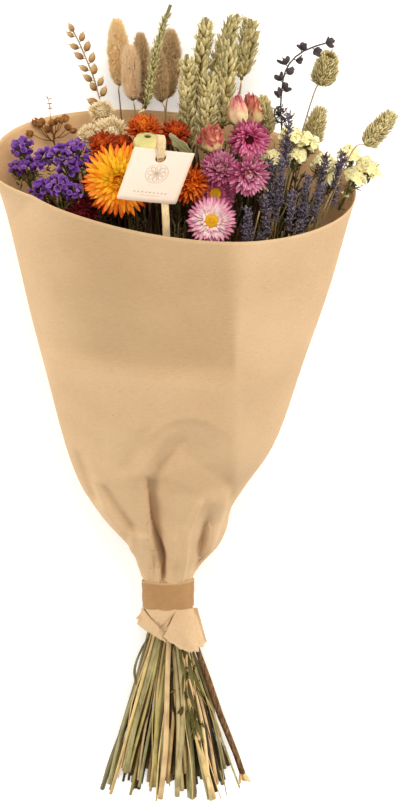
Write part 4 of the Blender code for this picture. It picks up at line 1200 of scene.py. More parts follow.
def bud(node, seed):
    """A white strawflower bud: many narrow pointed bracts that open round a low dome."""
    head, draw = bloom_of(node, seed)
    count = 210
    share, turns = spiral(count)
    turns = turns + draw.normal(0, 0.15, count)
    radius = head.radius * 1.25
    high = radius * (0.2 + 0.85 * share**0.9)
    reach = radius * 0.56 * sqrt(clip(1 - (share - 0.2) ** 2 / 0.66, 0, 1))
    lean = interp(share, [0, 0.5, 1], [0.1, 0.62, 1.4]) + draw.normal(0, 0.2, count)
    root, ahead, face = head.whorl(turns, reach, high, lean)
    length = radius * 0.74 * (1 - 0.35 * share) * draw.uniform(0.75, 1.15, count)
    face = unit(face + draw.normal(0, 0.3, face.shape))
    tone, tier = draw.random(count), clip(share * 1.6, 0, 1)
    bracts = blades(
        root, ahead, face, length, radius * 0.15, 0.36, 0.4, 0.45, (0.55, 0.75), (4, 5), tone, tier
    )
    return [core(head.stalk(0, radius * 1.15, 8), radius * 0.55, 0.5, 0.42, 14, 0.4, 0.2), bracts]


def rose(node, seed, openness):
    """A dried rosebud: petals wrapped round an egg, the outer ones looser with rolled lips. Across a petal
    the turn changes and the reach grows, so that its edge laps the next; up it the reach follows the
    egg, closes to the tip, and crumples and rolls out at the lip."""
    head, draw = bloom_of(node, seed)
    radius, tall = head.radius * 1.06, head.length * 1.06
    parts = []
    up = steps(13)[:, None]
    over = linspace(-1, 1, 13)[None]
    body = [0.24, 0.62, 0.98, 0.94, 0.66 + 0.25 * openness, 0.42 + 0.6 * openness]
    body = interp(up, [0, 0.1, 0.32, 0.58, 0.82, 1], body)
    layers = (
        (5, 1.0, 0.84, 1.15, 0.5 + openness),
        (5, 0.88, 0.95, 1.1, 0.24 + 0.6 * openness),
        (4, 0.72, 1.0, 1.2, 0.1 + 0.3 * openness),
        (4, 0.54, 0.99, 1.2, 0.04),
        (3, 0.34, 0.97, 1.5, 0.0),
    )
    for layer, (petals, size, height, span, roll) in enumerate(layers):
        grids = []
        for k in range(petals):
            phase = draw.uniform(0, 6, 3)
            turn = tau * k / petals + layer * 0.7 + draw.normal(0, 0.12)
            edge = 1 - 0.3 * abs(over) ** 2.2 + 0.05 * sin(over * 6 + phase[0]) * up
            lip_up = clip(up - 0.7, 0, 1) / 0.3
            z = tall * height * up * edge * draw.uniform(0.9, 1.03)
            z = z - tall * 0.1 * roll * lip_up**2 * (1 + 0.4 * sin(over * 3 + phase[1]))
            lip = roll * draw.uniform(0.6, 1.3) * 0.34 * lip_up**1.3 * (1 + 0.5 * sin(over * 4 + phase[1]))
            crumple = 0.03 * sin(over * 5 + up * 7 + phase[2]) + 0.035 * sin(over * 13 + phase[0]) * up**2
            reach = radius * size * (body + 0.06 * over + crumple) * 0.93 + radius * lip * 0.8
            angle = turn + over * span * (0.6 + 0.4 * up) * (1 - 0.25 * lip_up)
            grids.append(head.place(pile(reach * cos(angle), reach * sin(angle), z)))
        parts.append(sheets(array(grids), 0.5, along=up, tone=draw.random((petals, 1, 1)), tier=abs(over)))
    return parts


def sepals(node, seed):
    """The green cup under a rose and its five long pointed sepals."""
    head, draw = bloom_of(node, seed)
    root, ahead, face = head.whorl(evenly_round(5) + 0.3, head.radius * 0.35, 0.6, draw.uniform(0, 0.9, 5))
    length, bend = draw.uniform(9, 15, 5), draw.uniform(-0.9, 0.6, 5)
    leaves = blades(root, ahead, face, length, 2.2, 0.5, bend, 0.3, (0.3, 0.7), (7, 6), draw.random(5), 0.5)
    return [leaves, core(head.stalk(-1.6, 3.4, 6), head.radius * 0.46, 0.5, 0.5)]


# ---- sprays


def thinned(points, gap):
    """Picks points that stand at least this far apart, in the order given."""
    kept = []
    for index, point in enumerate(points):
        if all(norm(point - points[k]) >= gap for k in kept):
            kept.append(index)
    return array(kept)


def statice(node, seed, radius, depth, gap, hollow, low):
    """Papery florets crowded on the outside of each head above `low`, facing outwards and up."""
    spot, out, inner = inner_points(node, 900, 4.5, seed)
    draw = default_rng(seed)
    grow = unit(inner.mean(axis=0) - TIE)
    keep = thinned(spot, gap)
    spot, out, inner = spot[keep], out[keep], inner[keep]
    way = unit(out * 0.8 + unit(spot - inner) * 0.5 + grow * 0.55 + draw.normal(0, 0.26, out.shape))
    upper = (spot - inner) @ grow > low
    spot, way = spot[upper], way[upper]
    size = radius * draw.uniform(0.75, 1.25, len(spot))
    tone = mottled(draw, 0.45, 0.33, len(spot))
    lift = draw.uniform(-0.2, 1.1, len(spot))[:, None]
    turn = draw.uniform(0, 6, len(spot))
    return [cups(spot - way * (depth * 0.8 - lift), way, size, depth, tone, turn, hollow)]


def statice_green(node, seed):
    """A spray's green: winged stalks from its foot to each head, and husks among the florets."""
    spot, out, inner = inner_points(node, 900, 4.5, seed)
    draw = default_rng(seed + 1)
    keep = thinned(spot, 3.0)
    foot = near_end(samples(node, 900, seed)[0])
    inner, out = inner[keep], out[keep]
    grow = unit(inner.mean(axis=0) - TIE)
    ends = inner[thinned(inner, 9.0)]
    fork = foot * 0.35 + ends.mean(axis=0) * 0.65
    stops = stack([ends * 0 + foot, ends * 0 + fork * 0.7 + foot * 0.3, ends * 0.4 + fork * 0.6, ends], 1)
    stalks = tubes(smooth_routes(stops, 12), 1.5, 6, 0.4)
    count = 150
    pick = draw.integers(0, len(inner), count)
    side = unit(draw.normal(0, 1, (count, 3)) * [1, 0.7, 0.6] + grow * 0.35 + out[pick] * 0.6)
    root = inner[pick] - grow * draw.uniform(0, 11, count)[:, None]
    length = draw.uniform(4, 8.5, count)
    bracts = blades(
        root, side, grow, length, 1.6, 0.5, 0.5, 0.3, (0.4, 0.7), (3, 4), draw.random(count), 0.5
    )
    return [stalks, bracts]


def lavender_spikes(node, seed):
    """The spikes of a bunch, apart from the thin stems that carry them."""
    spot, _, inner = inner_points(node, 1100, 2.0, seed)
    found = [spot[group] for group in groups(inner, 2.4) if len(group) > 40]
    return [Spike(points, 9) for points in found]


def lavender(node, seed):
    """The spikes of a bunch, with smaller ones of the same kind beside them, and their bare stems."""
    parts = []
    draw = default_rng(seed)
    for number, spike in enumerate(lavender_spikes(node, seed)):
        parts += spike_buds(spike, seed * 10 + number, 60, 1.0, (4.2, 1.6), 0.7)
        parts.append(tubes(spike.line[None], 0.9, 6, 0.2))
        way = unit(spike.line[-1] - spike.line[0])
        shift = draw.uniform(-6, 6, 3) * [1.2, 0, 0.5] + way * draw.uniform(-16, -2)
        small = Spike.__new__(Spike)
        small.line = spike.line * 0.62 + spike.line[0] * 0.38 + shift
        parts += spike_buds(small, seed * 20 + number * 3, 42, 0.9, (3.8, 1.5), 0.7)
    return parts


def lavender_stems(node, seed):
    """A bunch's thin stems: a smooth curve from its foot to each spike, and three finer beside it."""
    draw = default_rng(seed + 7)
    foot = near_end(samples(node, 900, seed)[0])
    ends = array([spike.foot for spike in lavender_spikes(node, seed)])
    root = foot * 0.6 + ends.mean(axis=0) * 0.4
    stops = stack([ends * 0 + foot, ends * 0 + root * 0.5 + foot * 0.5, ends], 1)
    parts = [tubes(smooth_routes(stops, 12), 1.2, 6, 0.5, 0.7)]
    for _ in range(3):
        tops = ends + draw.normal(0, 1, ends.shape) * [4.0, 8.0, 3.0]
        low = foot + draw.normal(0, 1, ends.shape) * [4.0, 0.5, 3.0]
        stops = stack([low, (low + tops) / 2 + draw.normal(0, 1.2, ends.shape), tops], 1)
        parts.append(tubes(smooth_routes(stops, 10), 0.9, 5, draw.random(len(ends)) * 0.6))
    return parts


def pods_on(node, seed, pods, reach, first, lean):
    """A fine stalk with pods to each side in turn and one at its tip, each off the stalk by its reach on a
    short twig. Gives the stalk, where each pod starts, the way it points, and the line."""
    points, _ = samples(node, 1600, seed)
    foot = near_end(points)
    spike = Spike(points, 14)
    spike.line = centre_line(points, foot, 14, 4)
    draw = default_rng(seed)
    share = first + (1 - first) * arange(pods) / (pods - 1) * 0.97
    start, ahead = spike.at(share)
    side = unit(cross(ahead, UP)) * where(arange(pods) % 2, 1.0, -1.0)[:, None]
    side = side + draw.normal(0, 0.25, side.shape)
    side[-1] = 0
    way = unit(ahead + side * lean)
    root = start + unit(ahead * 0.5 + side) * reach
    root[-1] = start[-1]
    twig = stack([start, start + (root - start) * 0.6 + ahead * 0.2, root], 1)
    stalk = joined([tubes(spike.line[None], 1.1, 6, 0.3), tubes(smooth_routes(twig, 6), 0.7, 5, 0.3)])
    return stalk, root, way, spike


def flax(node, seed):
    """Small ribbed pods with a fine point, each on a short twig over five husks."""
    stalk, root, way, _ = pods_on(node, seed, 14, 2.0, 0.12, 0.6)
    draw = default_rng(seed)
    out = unit(cross(way, draw.normal(0, 1, way.shape)))
    count = len(root)
    size = draw.uniform(0.85, 1.12, count) * linspace(1.12, 0.85, count)
    tone = draw.random(count)
    parts = [
        blades(root, way, out, 7.4 * size, 4.8 * size, 4.6 * size, 0, 0, (0.46, 0.5), (8, 10), tone, 1),
        blades(
            root + way * 6.8 * size[:, None], way, out, 1.9, 0.7, 0.7, 0.2, 0, (0.3, 0.5), (2, 5), 0.9, 0.4
        ),
    ]
    for turn in evenly_round(5):
        side = unit(out * math.cos(turn) + cross(way, out) * math.sin(turn))
        long, tone = draw.uniform(4.6, 6.6, count), draw.random(count)
        go = unit(way + side * 0.75)
        parts.append(
            blades(root - way * 0.4, go, -side, long, 2.3, 0.4, 0.7, 0.2, (0.45, 0.6), (4, 5), tone, 0.5)
        )
    return [stalk], parts


def dark_pods(node, seed):
    """Small dark pods like curled hearts, far apart on fine stalks, and one open ball of them low down."""
    stalk, root, way, spike = pods_on(node, seed, 9, 1.8, 0.34, 0.8)
    draw = default_rng(seed)
    parts, count = [stalk], len(root)
    for swing in (-0.9, 0.9, 0.0, -0.4, 0.5):
        out = unit(draw.normal(0, 1, way.shape) + [0.0, 0.0, 1.2])
        go = unit(way + unit(cross(way, out)) * swing)
        long, bend, tone = draw.uniform(4.2, 7.4, count), draw.uniform(-0.9, 0.9, count), draw.random(count)
        parts.append(blades(root, go, out, long, 3.4, 1.3, bend, 0.3, (0.6, 0.5), (5, 8), tone, 0.8))
    ball, _ = spike.at(array([0.19]))
    share, turn = spiral(22)
    high = 1 - 2 * share
    flat = sqrt(1 - high**2)
    shell = pile(flat * cos(turn), high, flat * sin(turn))
    swirl = unit(cross(shell, draw.normal(0, 1, shell.shape)))
    tone, rim, go = draw.random(22), ball + shell * [4.0, 6.0, 4.0], unit(shell + swirl * 0.4)
    return parts + [
        blades(
            ball + shell * [4.2, 6.0, 4.2], swirl, shell, 5.2, 2, 0.5, -0.9, 0.3, (0.5, 0.6), (4, 6),
            tone, 0.7
        ),
        blades(rim, go, swirl, 2.6, 0.9, 0.5, 0.3, 0.2, (0.4, 0.7), (3, 5), 0.5, 0.7),
        blades(ball + shell * 1.5, shell, swirl, 4, 0.9, 0.8, 0, 0, (0.5, 0.4), (2, 5), 0.2, 0.3),
    ]


def berries(node, seed):
    """A sprig of curled brown pods: twigs fan out low and wide, each ends in a few shells that curl, and a
    fine thread stands above them."""
    points, _ = samples(node, 1200, seed)
    foot = near_end(points)
    line = centre_line(points, foot, 12, 3)
    draw = default_rng(seed)
    count = 11
    place = draw.uniform(0.1, 0.42, count) * (len(line) - 1)
    index = place.astype(int)
    start = line[index] + (line[index + 1] - line[index]) * (place - index)[:, None]
    spread = linspace(-1, 1, count) + draw.normal(0, 0.05, count)
    middle = line[5]
    high = middle[1] + 3.5 - 7.0 * spread**2 + draw.normal(0, 2, count)
    end = pile(middle[0] + 13.0 * spread, high, middle[2] + draw.normal(0, 4, count))
    way = unit(end - start)
    twigs = stack([start, (start + end) / 2 + [0.0, -1.4, 0.4], end], 1)
    parts = [tubes(line[None, :7], 1.2, 6, 0.2), tubes(line[None, 6:], 0.5, 5, 0)]
    parts.append(tubes(smooth_routes(twigs, 7), 0.8, 5, 0.2))
    for _ in range(5):
        out = unit(draw.normal(0, 1, way.shape))
        go = unit(way + out * 0.8)
        long, bend = draw.uniform(4, 6.6, count), draw.uniform(-2.2, -0.8, count)
        tone, tier = draw.random((2, count))
        parts.append(
            blades(end - way * 0.6, go, out, long, 3.6, 0.8, bend, 0.6, (0.5, 0.55), (6, 8), tone, tier)
        )
    root = np.repeat(line[-3:], 3, axis=0)
    go = unit(draw.normal(0, 1, root.shape) * [1.0, 0.4, 0.6] + [0.0, 0.8, 0.0])
    parts.append(
        blades(
            root, go, cross(go, [0.3, 0.2, 0.9]), 2.8, 1.2, 0.6, 0.3, 0.2, (0.6, 0.5), (3, 5), 0, 0.5
        )
    )
    return parts


def seed_capsule(node):
    """A rounded capsule: an egg times one plus a small cosine of ten times the turn, with a scalloped
    crown, past which the rows turn down into its mouth, darkened there by painted shade."""
    head = Head(solid(node)[0])
    head.radius, head.length = head.radius * 1.3, head.length * 1.2
    head.foot = head.foot + [-1.5, 5.0, 13.0]
    head.look(unit(head.axis * 0.35 + [0.1, 1.0, 0.0]))
    turn = evenly_round(60)
    reach = array([0.25, 0.62, 0.88, 0.99, 1.0, 0.98, 0.92, 0.76, 0.54, 0.36, 0.28, 0.22, 0.2, 0.18])
    high = array([0.01, 0.06, 0.18, 0.36, 0.52, 0.66, 0.8, 0.9, 0.95, 1.0, 0.99, 0.92, 0.8, 0.7])
    ribs = array([0.2, 0.7, 1, 1, 1, 1, 1, 0.8, 0.6, 1.4, 1.0, 0.6, 0.3, 0.2]) * 0.035
    ring = reach[:, None] * (1 + ribs[:, None] * cos(10 * turn))
    points = pile(ring * cos(turn), ring * sin(turn), high[:, None] + ring * 0)
    rings = head.place(points * [head.radius, head.radius, head.length])
    share = concatenate([[0], high[:10] * 0.8, [0.85, 0.93, 0.98, 1.0], [1.0]])
    foot, tip = head.place(array([(0, 0, 0), (0, 0, head.length * 0.68)]))
    return [loft(rings[None], foot[None], tip[None], along=share[None], tone=0.4, tier=1.0)]


def leaf_blade(node):
    """One dried leaf: its half width is the outline along its length, its edges rise and wave, a midrib
    stands up, and side veins sink at a slant to it."""
    points, _ = samples(node, 1600, 4)
    points = (points - points.mean(axis=0)) * 1.35 + points.mean(axis=0) + [9.0, 6.0, 10.0]
    foot = near_end(points)
    middle = points.mean(axis=0)
    ways = np.linalg.eigh(np.cov((points - middle).T))[1]
    ahead = ways[:, 2] * np.sign(ways[:, 2] @ (middle - foot))
    face = ways[:, 0] * np.sign(ways[2, 0])
    side = cross(ahead, face)
    local = points - foot
    length = (local @ ahead).max()
    half = abs((points - middle) @ side).max()
    share = clip((local @ ahead) / length, 0, 1)
    stops = steps(9)
    weights = exp(-(((share[None] - stops[:, None]) / 0.08) ** 2))
    rise, shift = ((weights @ (local @ way)) / weights.sum(axis=1) for way in (face, side))
    up = linspace(0, 1, 34)[:, None]
    over = linspace(-1, 1, 21)[None]
    wide = half * outline(clip(up, 0.004, 0.996), 0.45, 0.8)
    vein = cos((up * 15 - abs(over) * 2.6) * tau) * 0.22 * clip(abs(over) * 3, 0, 1)
    lift = interp(up, stops, rise) + 0.16 * wide * over**2 + 0.5 * exp(-((over / 0.12) ** 2)) + vein
    lift = lift + 0.6 * sin(up * 17 + over * 2.0) * over**2
    x = interp(up, stops, shift) + wide * over
    grid = foot + ahead * (up * length)[..., None] + side * x[..., None] + face * (lift - 0.3)[..., None]
    return [sheets(grid[None], 0.5, along=up, tone=clip(0.5 + vein * 1.6, 0, 1), tier=abs(over))]


# ---- the card and its strip


class Plate:
    """Where a flat square part stands: its middle, its two sides and its front, and its half sizes."""

    def __init__(self, node):
        points, _ = samples(node, 2400, 6)
        middle = points.mean(axis=0)
        ways = np.linalg.eigh(np.cov((points - middle).T))[1]
        self.front = ways[:, 0] * np.sign(ways[2, 0])
        flat = points - middle
        flat = flat - np.outer(flat @ self.front, self.front)
        first = unit(cross(self.front, UP))
        second = cross(self.front, first)

        def turned(angle):
            """The two sides when they are turned by an angle in the card's own plane."""
            cosine, sine = math.cos(angle), math.sin(angle)
            return first * cosine + second * sine, second * cosine - first * sine

        angles = linspace(0, pi / 2, 181)
        best = min(angles, key=lambda angle: sum(np.ptp(flat @ way) for way in turned(angle)))
        high = max(turned(best), key=lambda way: abs(way[1]))
        self.up = high * np.sign(high[1])
        self.side = cross(self.up, self.front)
        sides = (self.side, self.up, self.front)
        reach = array([(points - middle) @ way for way in sides])
        low, high = reach.min(axis=1), reach.max(axis=1)
        self.middle = middle + sum(way * value for way, value in zip(sides, (low + high) / 2))
        self.half = (high - low) / 2

    def place(self, x, y, z):
        """Points given across the card, up it and out from it."""
        x, y, z = np.broadcast_arrays(x, y, z)
        return self.middle + x[..., None] * self.side + y[..., None] * self.up + z[..., None] * self.front


def card_hole(plate):
    """The middle of the card's punched hole: the mean of the solid's points near a small high circle."""
    points, _ = solid("card")
    local = points - plate.middle
    x, y = local @ plate.side, local @ plate.up
    inside = (abs(x) < plate.half[0] * 0.8) & (abs(y) < plate.half[1] * 0.9)
    cx, cy = (x[inside].min() + x[inside].max()) / 2, (y[inside].min() + y[inside].max()) / 2
    return cx, cy, np.hypot(x[inside] - cx, y[inside] - cy).mean()


def bowed(plate, x, y):
    """How far the card's face bows out: a slow cylinder across it, and a lifted corner."""
    u, v = x / plate.half[0], y / plate.half[1]
    return 0.5 * (1 - u**2) - 0.25 + 0.25 * v * u


def card_body(plate):
    """The card: rows from its hole's circle to a rounded square, whose reach is a square's with its corners
    cut by a small radius."""
    cx, cy, radius = card_hole(plate)
    around, square = 240, 90.0
    turn = evenly_round(around)
    ux, uy = cos(turn), sin(turn)
    reach_x = plate.half[0] - where(ux >= 0, cx, -cx)
    reach_y = plate.half[1] - where(uy >= 0, cy, -cy)
    out = ((abs(ux) / reach_x) ** square + (abs(uy) / reach_y) ** square) ** (-1 / square)
    share = steps(9)[:, None]
    reach = radius + (out - radius) * share
    x, y = cx + reach * ux, cy + reach * uy
    lift = bowed(plate, x, y)
    thick = plate.half[2] * 0.9 * where(share >= 1, 0.6, 1.0)
    rings = concatenate([plate.place(x, y, lift + thick), plate.place(x, y, lift - thick)[::-1]])
    quads = ring_faces(len(rings), around, closed=True)
    worn = np.repeat(concatenate([share, share[::-1]]) > 0.97, around, axis=1) * 1.0
    return [copies(rings.reshape(1, -1, 3), quads, NO_TRIS, {"worn": worn.reshape(1, -1)})]


def card_lines(plate):
    """A made-up ornament of thin flat tubes on the card's bow: a rosette of eight loops, whose reach is the
    sine of four times the turn, over a row of dots and a short rule."""
    parts = []
    high = plate.half[2] * 0.9

    def line(x, y, width, tone):
        """Adds one line through points across the card and up it."""
        route = plate.place(x, y, bowed(plate, x, y) + high + 0.02)
        parts.append(tubes(route[None], width, 6, tone))

    turn = linspace(0, tau, 121)
    middle_y = plate.half[1] * 0.12
    size = plate.half[0] * 0.3
    for k in range(8):
        share = steps(25)
        angle = tau * k / 8 + 0.3 * sin(tau * share)
        reach = size * sin(pi * share) ** 0.8
        line(reach * cos(angle), middle_y + reach * sin(angle), 0.34, 0.3)
    line(size * 1.22 * cos(turn), middle_y + size * 1.22 * sin(turn), 0.3, 0.5)
    for k in range(9):
        x = (k - 4) * plate.half[0] * 0.13
        line(x + 0.42 * cos(turn[::10]), -plate.half[1] * 0.62 + 0.42 * sin(turn[::10]), 0.4, 0.3)
    rule = linspace(-0.34, 0.34, 12) * plate.half[0]
    line(rule, rule * 0 - plate.half[1] * 0.74, 0.28, 0.5)
    return parts


def undergrowth(seed, count, tall, front=0.0):
    """Dry leaves, bracts and thin stems in the sleeve's mouth below the blooms. Each stands at a random
    turn and reach of the inner section, and ends below a plane that falls from the back to the front."""
    draw = default_rng(seed)
    turn = draw.uniform(0, tau, count)
    reach = sqrt(draw.random(count)) * 0.8
    u, v = reach * cos(turn), reach * sin(turn) * 0.95 - 0.04
    top = 325.0 - 38.0 * (v + 0.15) - 22.0 * u**2 - draw.gamma(1.4, 11.5, count) - front
    long = minimum(draw.uniform(0.7, 1.3, count) * tall, top - 190)

    def inside(station, u, v):
        """A point of the sleeve's inner section, from shares of its half width and half depth."""
        centre, half, under, upper = station_values(station)
        return FOOT + pile(centre + u * half, station, (under + upper) / 2 + v * (upper - under) / 2)

    root = inside(top - long, u * 0.96, v * 0.94)
    u, v = u + draw.normal(0, 0.04, count), v + draw.normal(0, 0.04, count)
    tip = inside(top, clip(u, -0.84, 0.84), clip(v, -0.84, 0.76))
    way = tip - root
    length = norm(way, axis=1)
    face = unit(draw.normal(0, 0.6, way.shape) + UP)
    return root, unit(way), face, length, draw


def filling():
    """Two kinds of filling, coloured near black as painted shade: dark leaves, and olive bracts on thin
    stems.
    """
    root, way, face, length, draw = undergrowth(201, 1100, 54.0)
    wide = draw.uniform(1.6, 4.6, len(root))
    bend, tone = draw.uniform(-0.35, 0.1, len(root)), draw.random(len(root))
    leaves = blades(root, way, face, length, wide, 0.5, bend, 0.35, (0.55, 0.7), (4, 4), tone, 0.5)
    root, way, face, length, draw = undergrowth(202, 330, 60.0, -4.0)
    middle = root + way * length[:, None] * 0.5 + draw.normal(0, 1, root.shape)
    tips = root + way * length[:, None]
    count = len(root)
    parts = [tubes(smooth_routes(stack([root, middle, tips], 1), 5), 1, 4, draw.random(count), 0.5)]
    for _ in range(5):
        go = unit(way + draw.normal(0, 0.5, way.shape))
        start = tips - way * draw.uniform(0, 14, count)[:, None]
        long, wide = draw.uniform(4, 8, count), draw.uniform(1, 2.2, count)
        bend, tone = draw.normal(0, 0.5, count), draw.random(count)
        parts.append(blades(start, go, face, long, wide, 0.5, bend, 0.3, (0.4, 0.7), (3, 4), tone, 0.5))
    return [leaves], parts


def card_route(plate):
    """The strip's line: up behind the card, over in a small arc, and down in front into its punched hole."""
    cx, cy, _ = card_hole(plate)
    upright = unit(array([-0.066, 1.0, 0.0]))
    sx, sy = upright @ plate.side, upright @ plate.up
    top = (plate.half[1] - cy) / sy

    def on_line(share, high):
        """A point of the line that runs straight up through the hole, some height off the card."""
        share = np.asarray(share, float)
        return plate.place(cx + share * sx, cy + share * sy, high)

    bend = linspace(0, pi, 7)
    behind = on_line([-40.0, -14.0, top - 4.0, top + 6.0], [-3.4, -3.4, -3.2, -2.6])
    behind = behind + array([[4.4], [1.9], [0.3], [0.0]]) * [1.0, 0.0, 0.0]
    low = behind[0] + array([(1.0, -62.0, -20.0), (1.2, -46.0, -11.0), (0.9, -22.0, -3.0)])
    arc = on_line(top + 10.0 + 2.2 * sin(bend), 0.3 - 2.9 * cos(bend))
    down = on_line(linspace(top + 5.0, 0.6, 4), [2.7, 2.0, 1.4, 0.5])
    stops = concatenate([low, behind, arc, down])
    return smooth_routes(stops[None], 90)[0]


def strip_paper(plate):
    """The fibrous strip: as wide as its line's side vector, frayed at its edges, faintly ribbed."""
    line = card_route(plate)
    ahead = unit(np.gradient(line, axis=0))
    side = unit(plate.side - ahead * (ahead @ plate.side)[:, None])
    over = linspace(-1, 1, 11)
    share = steps(len(line))
    ragged = 1 + 0.035 * sin(share * 210 + 1.0) * sin(share * 37)
    x = over[None] * 2.55 * ragged[:, None]
    face = cross(side, ahead)
    rib = 0.1 * cos(over * 9)[None] + 0.06 * sin(share * 320)[:, None] * over[None]
    grid = line[:, None] + side[:, None] * x[..., None] + face[:, None] * rib[..., None]
    return [sheets(grid[None], 0.5, along=share[:, None], tone=(over + 1) / 2)]


def rose_finish(name, colours):
    """A dried rose petal: pale at its foot, blushed higher, deepest along its lip and edges, veined."""
    paint = Paint(name, Roughness=0.62, Specular_IOR_Level=0.25)
    along, tone, tier = paint.painted("along"), paint.painted("tone"), paint.painted("tier")
    vein = paint.noise(paint.vector(tier * 9.0, along * 1.2, tone * 20.0), 2.0, 3.0)
    cloud = paint.noise(paint.place(), 260.0, 2.0)
    value = along * 0.86 + (tier ** 3.0) * 0.22 + (vein - 0.5) * 0.35
    value = value + (cloud - 0.5) * 0.3 + (tone - 0.5) * 0.18
    colour = paint.ramp(value, *stops_of(colours))
    crumple = paint.noise(paint.stretched((420.0, 420.0, 420.0)), 1.0, 3.0)
    return paint.finish(colour, None, paint.bump(crumple, 0.0012, 0.5))


def leaves_below():
    """Torn dry leaves that cling among the stems at the right, below the wrapper."""
    draw = default_rng(61)
    count = 46
    high = draw.uniform(-104, -34, count)
    across = 8.0 + (-34.0 - high) * 0.16 + draw.normal(0, 4, count)
    root = TIE + pile(across, high, draw.uniform(-2, 13, count))
    fall = draw.normal(0.1, 0.35, count), -abs(draw.normal(1, 0.4, count)), draw.normal(0, 0.2, count)
    way = unit(stack(fall, -1))
    face = unit(draw.normal(0, 0.7, way.shape) + UP)
    long, wide = draw.uniform(9, 30, count), draw.uniform(1.6, 5, count)
    bend, tone = draw.normal(0, 0.5, count), draw.random(count)
    return [blades(root, way, face, long, wide, 0.4, bend, 0.4, (0.45, 0.8), (9, 6), tone, 0.5)]


# ---- finishes


def stem_finish():
    """Straw: each stem takes its colour from its tone, with fibres along it and nodes, and painted shade that
    darkens it the lower its tier.
    """
    paint = Paint("dry stem", Roughness=0.6, Specular_IOR_Level=0.3)
    along, tone = paint.painted("along"), paint.painted("tone")
    colour = paint.ramp(tone, *stops_of(STEM_COLOURS))
    fibre = paint.noise(paint.stretched((1600.0, 60.0, 1600.0)), 1.0, 2.0)
    patches = paint.noise(paint.vector(tone * 91.0, along * 7.0, 0.0), 1.4, 2.0)
    colour = paint.mix((patches - 0.42) * 1.9, colour, tint("785c34"), "MULTIPLY")
    colour = paint.mix((fibre - 0.5) * 1.4, colour, tint("f5e2b4"))
    # Painted shade: darkens the stem the lower its tier.
    colour = paint.mix(1.0 - paint.painted("tier"), colour, tint("60502c"), "MULTIPLY")
    return paint.finish(colour, None, paint.bump(fibre, 0.0004, 0.4))


def bark_finish():
    """Bark: dark brown, cracked along its length, pale where the end is split."""
    paint = Paint("bark", Roughness=0.85, Specular_IOR_Level=0.2)
    cracks = paint.noise(paint.stretched((700.0, 160.0, 700.0)), 1.0, 4.0, 0.65)
    spots = paint.noise(paint.place(), 600.0, 2.0)
    colour = paint.ramp(cracks, (0.32, tint("362214")), (0.5, tint("6e4e30")), (0.68, tint("9c7850")))
    colour = paint.mix((spots - 0.6) * 4.0, colour, tint("a08c69"))
    pale = paint.ramp(paint.painted("tier"), (0.55, (0, 0, 0, 1)), (0.95, (1, 1, 1, 1)))
    colour = paint.mix(pale, colour, tint("e2be86"))
    return paint.finish(colour, None, paint.bump(cracks, 0.0012, 0.7))


def card_finish():
    """Card: warm white stock with faint fibres and slightly browner edges."""
    paint = Paint("card stock", Roughness=0.68, Specular_IOR_Level=0.3)
    clouds = paint.noise(paint.place(), 30.0, 3.0)
    fibre = paint.noise(paint.place(), 700.0, 3.0, 0.6)
    colour = paint.ramp(clouds * 0.5 + fibre * 0.5, (0.35, tint("ecd5c4")), (0.65, tint("f3decf")))
    colour = paint.mix(paint.painted("worn") * 0.6, colour, tint("e8ceac"))
    return paint.finish(colour, 0.62 + fibre * 0.15, paint.bump(fibre, 0.0002, 0.5))


def fibre_finish(name, light, dark, scale, deep, rough=0.8):
    """Fibrous paper or twine: long fibres in two tones."""
    paint = Paint(name, Roughness=rough, Specular_IOR_Level=0.2)
    fibre = paint.noise(paint.stretched(scale), 1.0, 4.0, 0.65)
    clouds = paint.noise(paint.place(), 60.0, 2.0)
    colour = paint.ramp(fibre * 0.8 + clouds * 0.2, (0.36, dark), (0.62, light))
    return paint.finish(colour, None, paint.bump(fibre, deep, 0.7))


def ink_finish():
    """Soft brown ink, a little uneven."""
    paint = Paint("soft brown ink", Roughness=0.7, Specular_IOR_Level=0.2)
    grain = paint.noise(paint.place(), 900.0, 2.0)
    return paint.finish(paint.ramp(grain, (0.3, tint("a8947c")), (0.7, tint("c8b69e"))))


STEM = stem_finish()
BARK = bark_finish()
KRAFT = kraft_finish("kraft", tint("ceaf8a"), tint("be9e79"), 0.82)
BAND = kraft_finish("band", tint("ae865a"), tint("98724a"), 0.8, 0.5)
TWINE = fibre_finish("twine", tint("c8aa78"), tint("826038"), (1200.0, 1200.0, 400.0), 0.001)
STRIP = fibre_finish("strip", tint("eed6ae"), tint("d0b284"), (1400.0, 120.0, 1400.0), 0.0006)
CARD = card_finish()
INK = ink_finish()
WHEAT = plant("wheat", "726430 d4c280 f2e4b0", "88763c decc8c f6eabe", 0.3, "6c5e2e")
WHEAT_GREEN = plant("green wheat", "605c2c bab070 e6d89e", "706634 c6b87a ecdea8", 0.3, "504c24")
TAIL = plant("tail fluff", "b08e62 ceac7c", "c4a274 e0c094", 0.06, rough=0.9)
TAIL_PALE = plant("pale tail fluff", "f0c482 fcdaa0", "fad296 ffe6b8", 0.05, rough=0.9)
TAIL_ROSY = plant("rosy tail fluff", "deb686 f2d0a2", "ecc89a fadeb8", 0.05, rough=0.9)
CANARY = plant("canary grass", "8c7a3e e8d492 fceebe", "a69050 f4e0a2 fff6ce", 0.35, "8c7a3e")
# The gold bracts' red-orange feet are painted shade between them; the red-orange of the outer bracts is their
# own colour.
GOLD = plant(
    "gold bracts", "0:e26006 0.22:ffd018 0.72:ffe03a 1:ffbc24", "0:cc4206 0.25:ffb812 0.65:ffa414 1:e8540a",
    0.1, "e64606", 0.5, 2.6
)
# Painted shade: the red and orange bracts are near black at their feet, and the outer, lower bracts darker,
# for the shade between them.
RED = plant("red bracts", "600a06 ce420c f07a22", "3c0606 a8220a d84c12", 0.25, "781008", 0.55)
ORANGE = plant("orange bracts", "781204 f06a0c ffa834", "540806 da420a f87618", 0.2, "961a06", 0.55)
MAROON = plant("maroon bracts", "46080e 6e0e16 8c1a1e", "32060c 5c0c12 78141a", 0.25, "3c060c", 0.5)
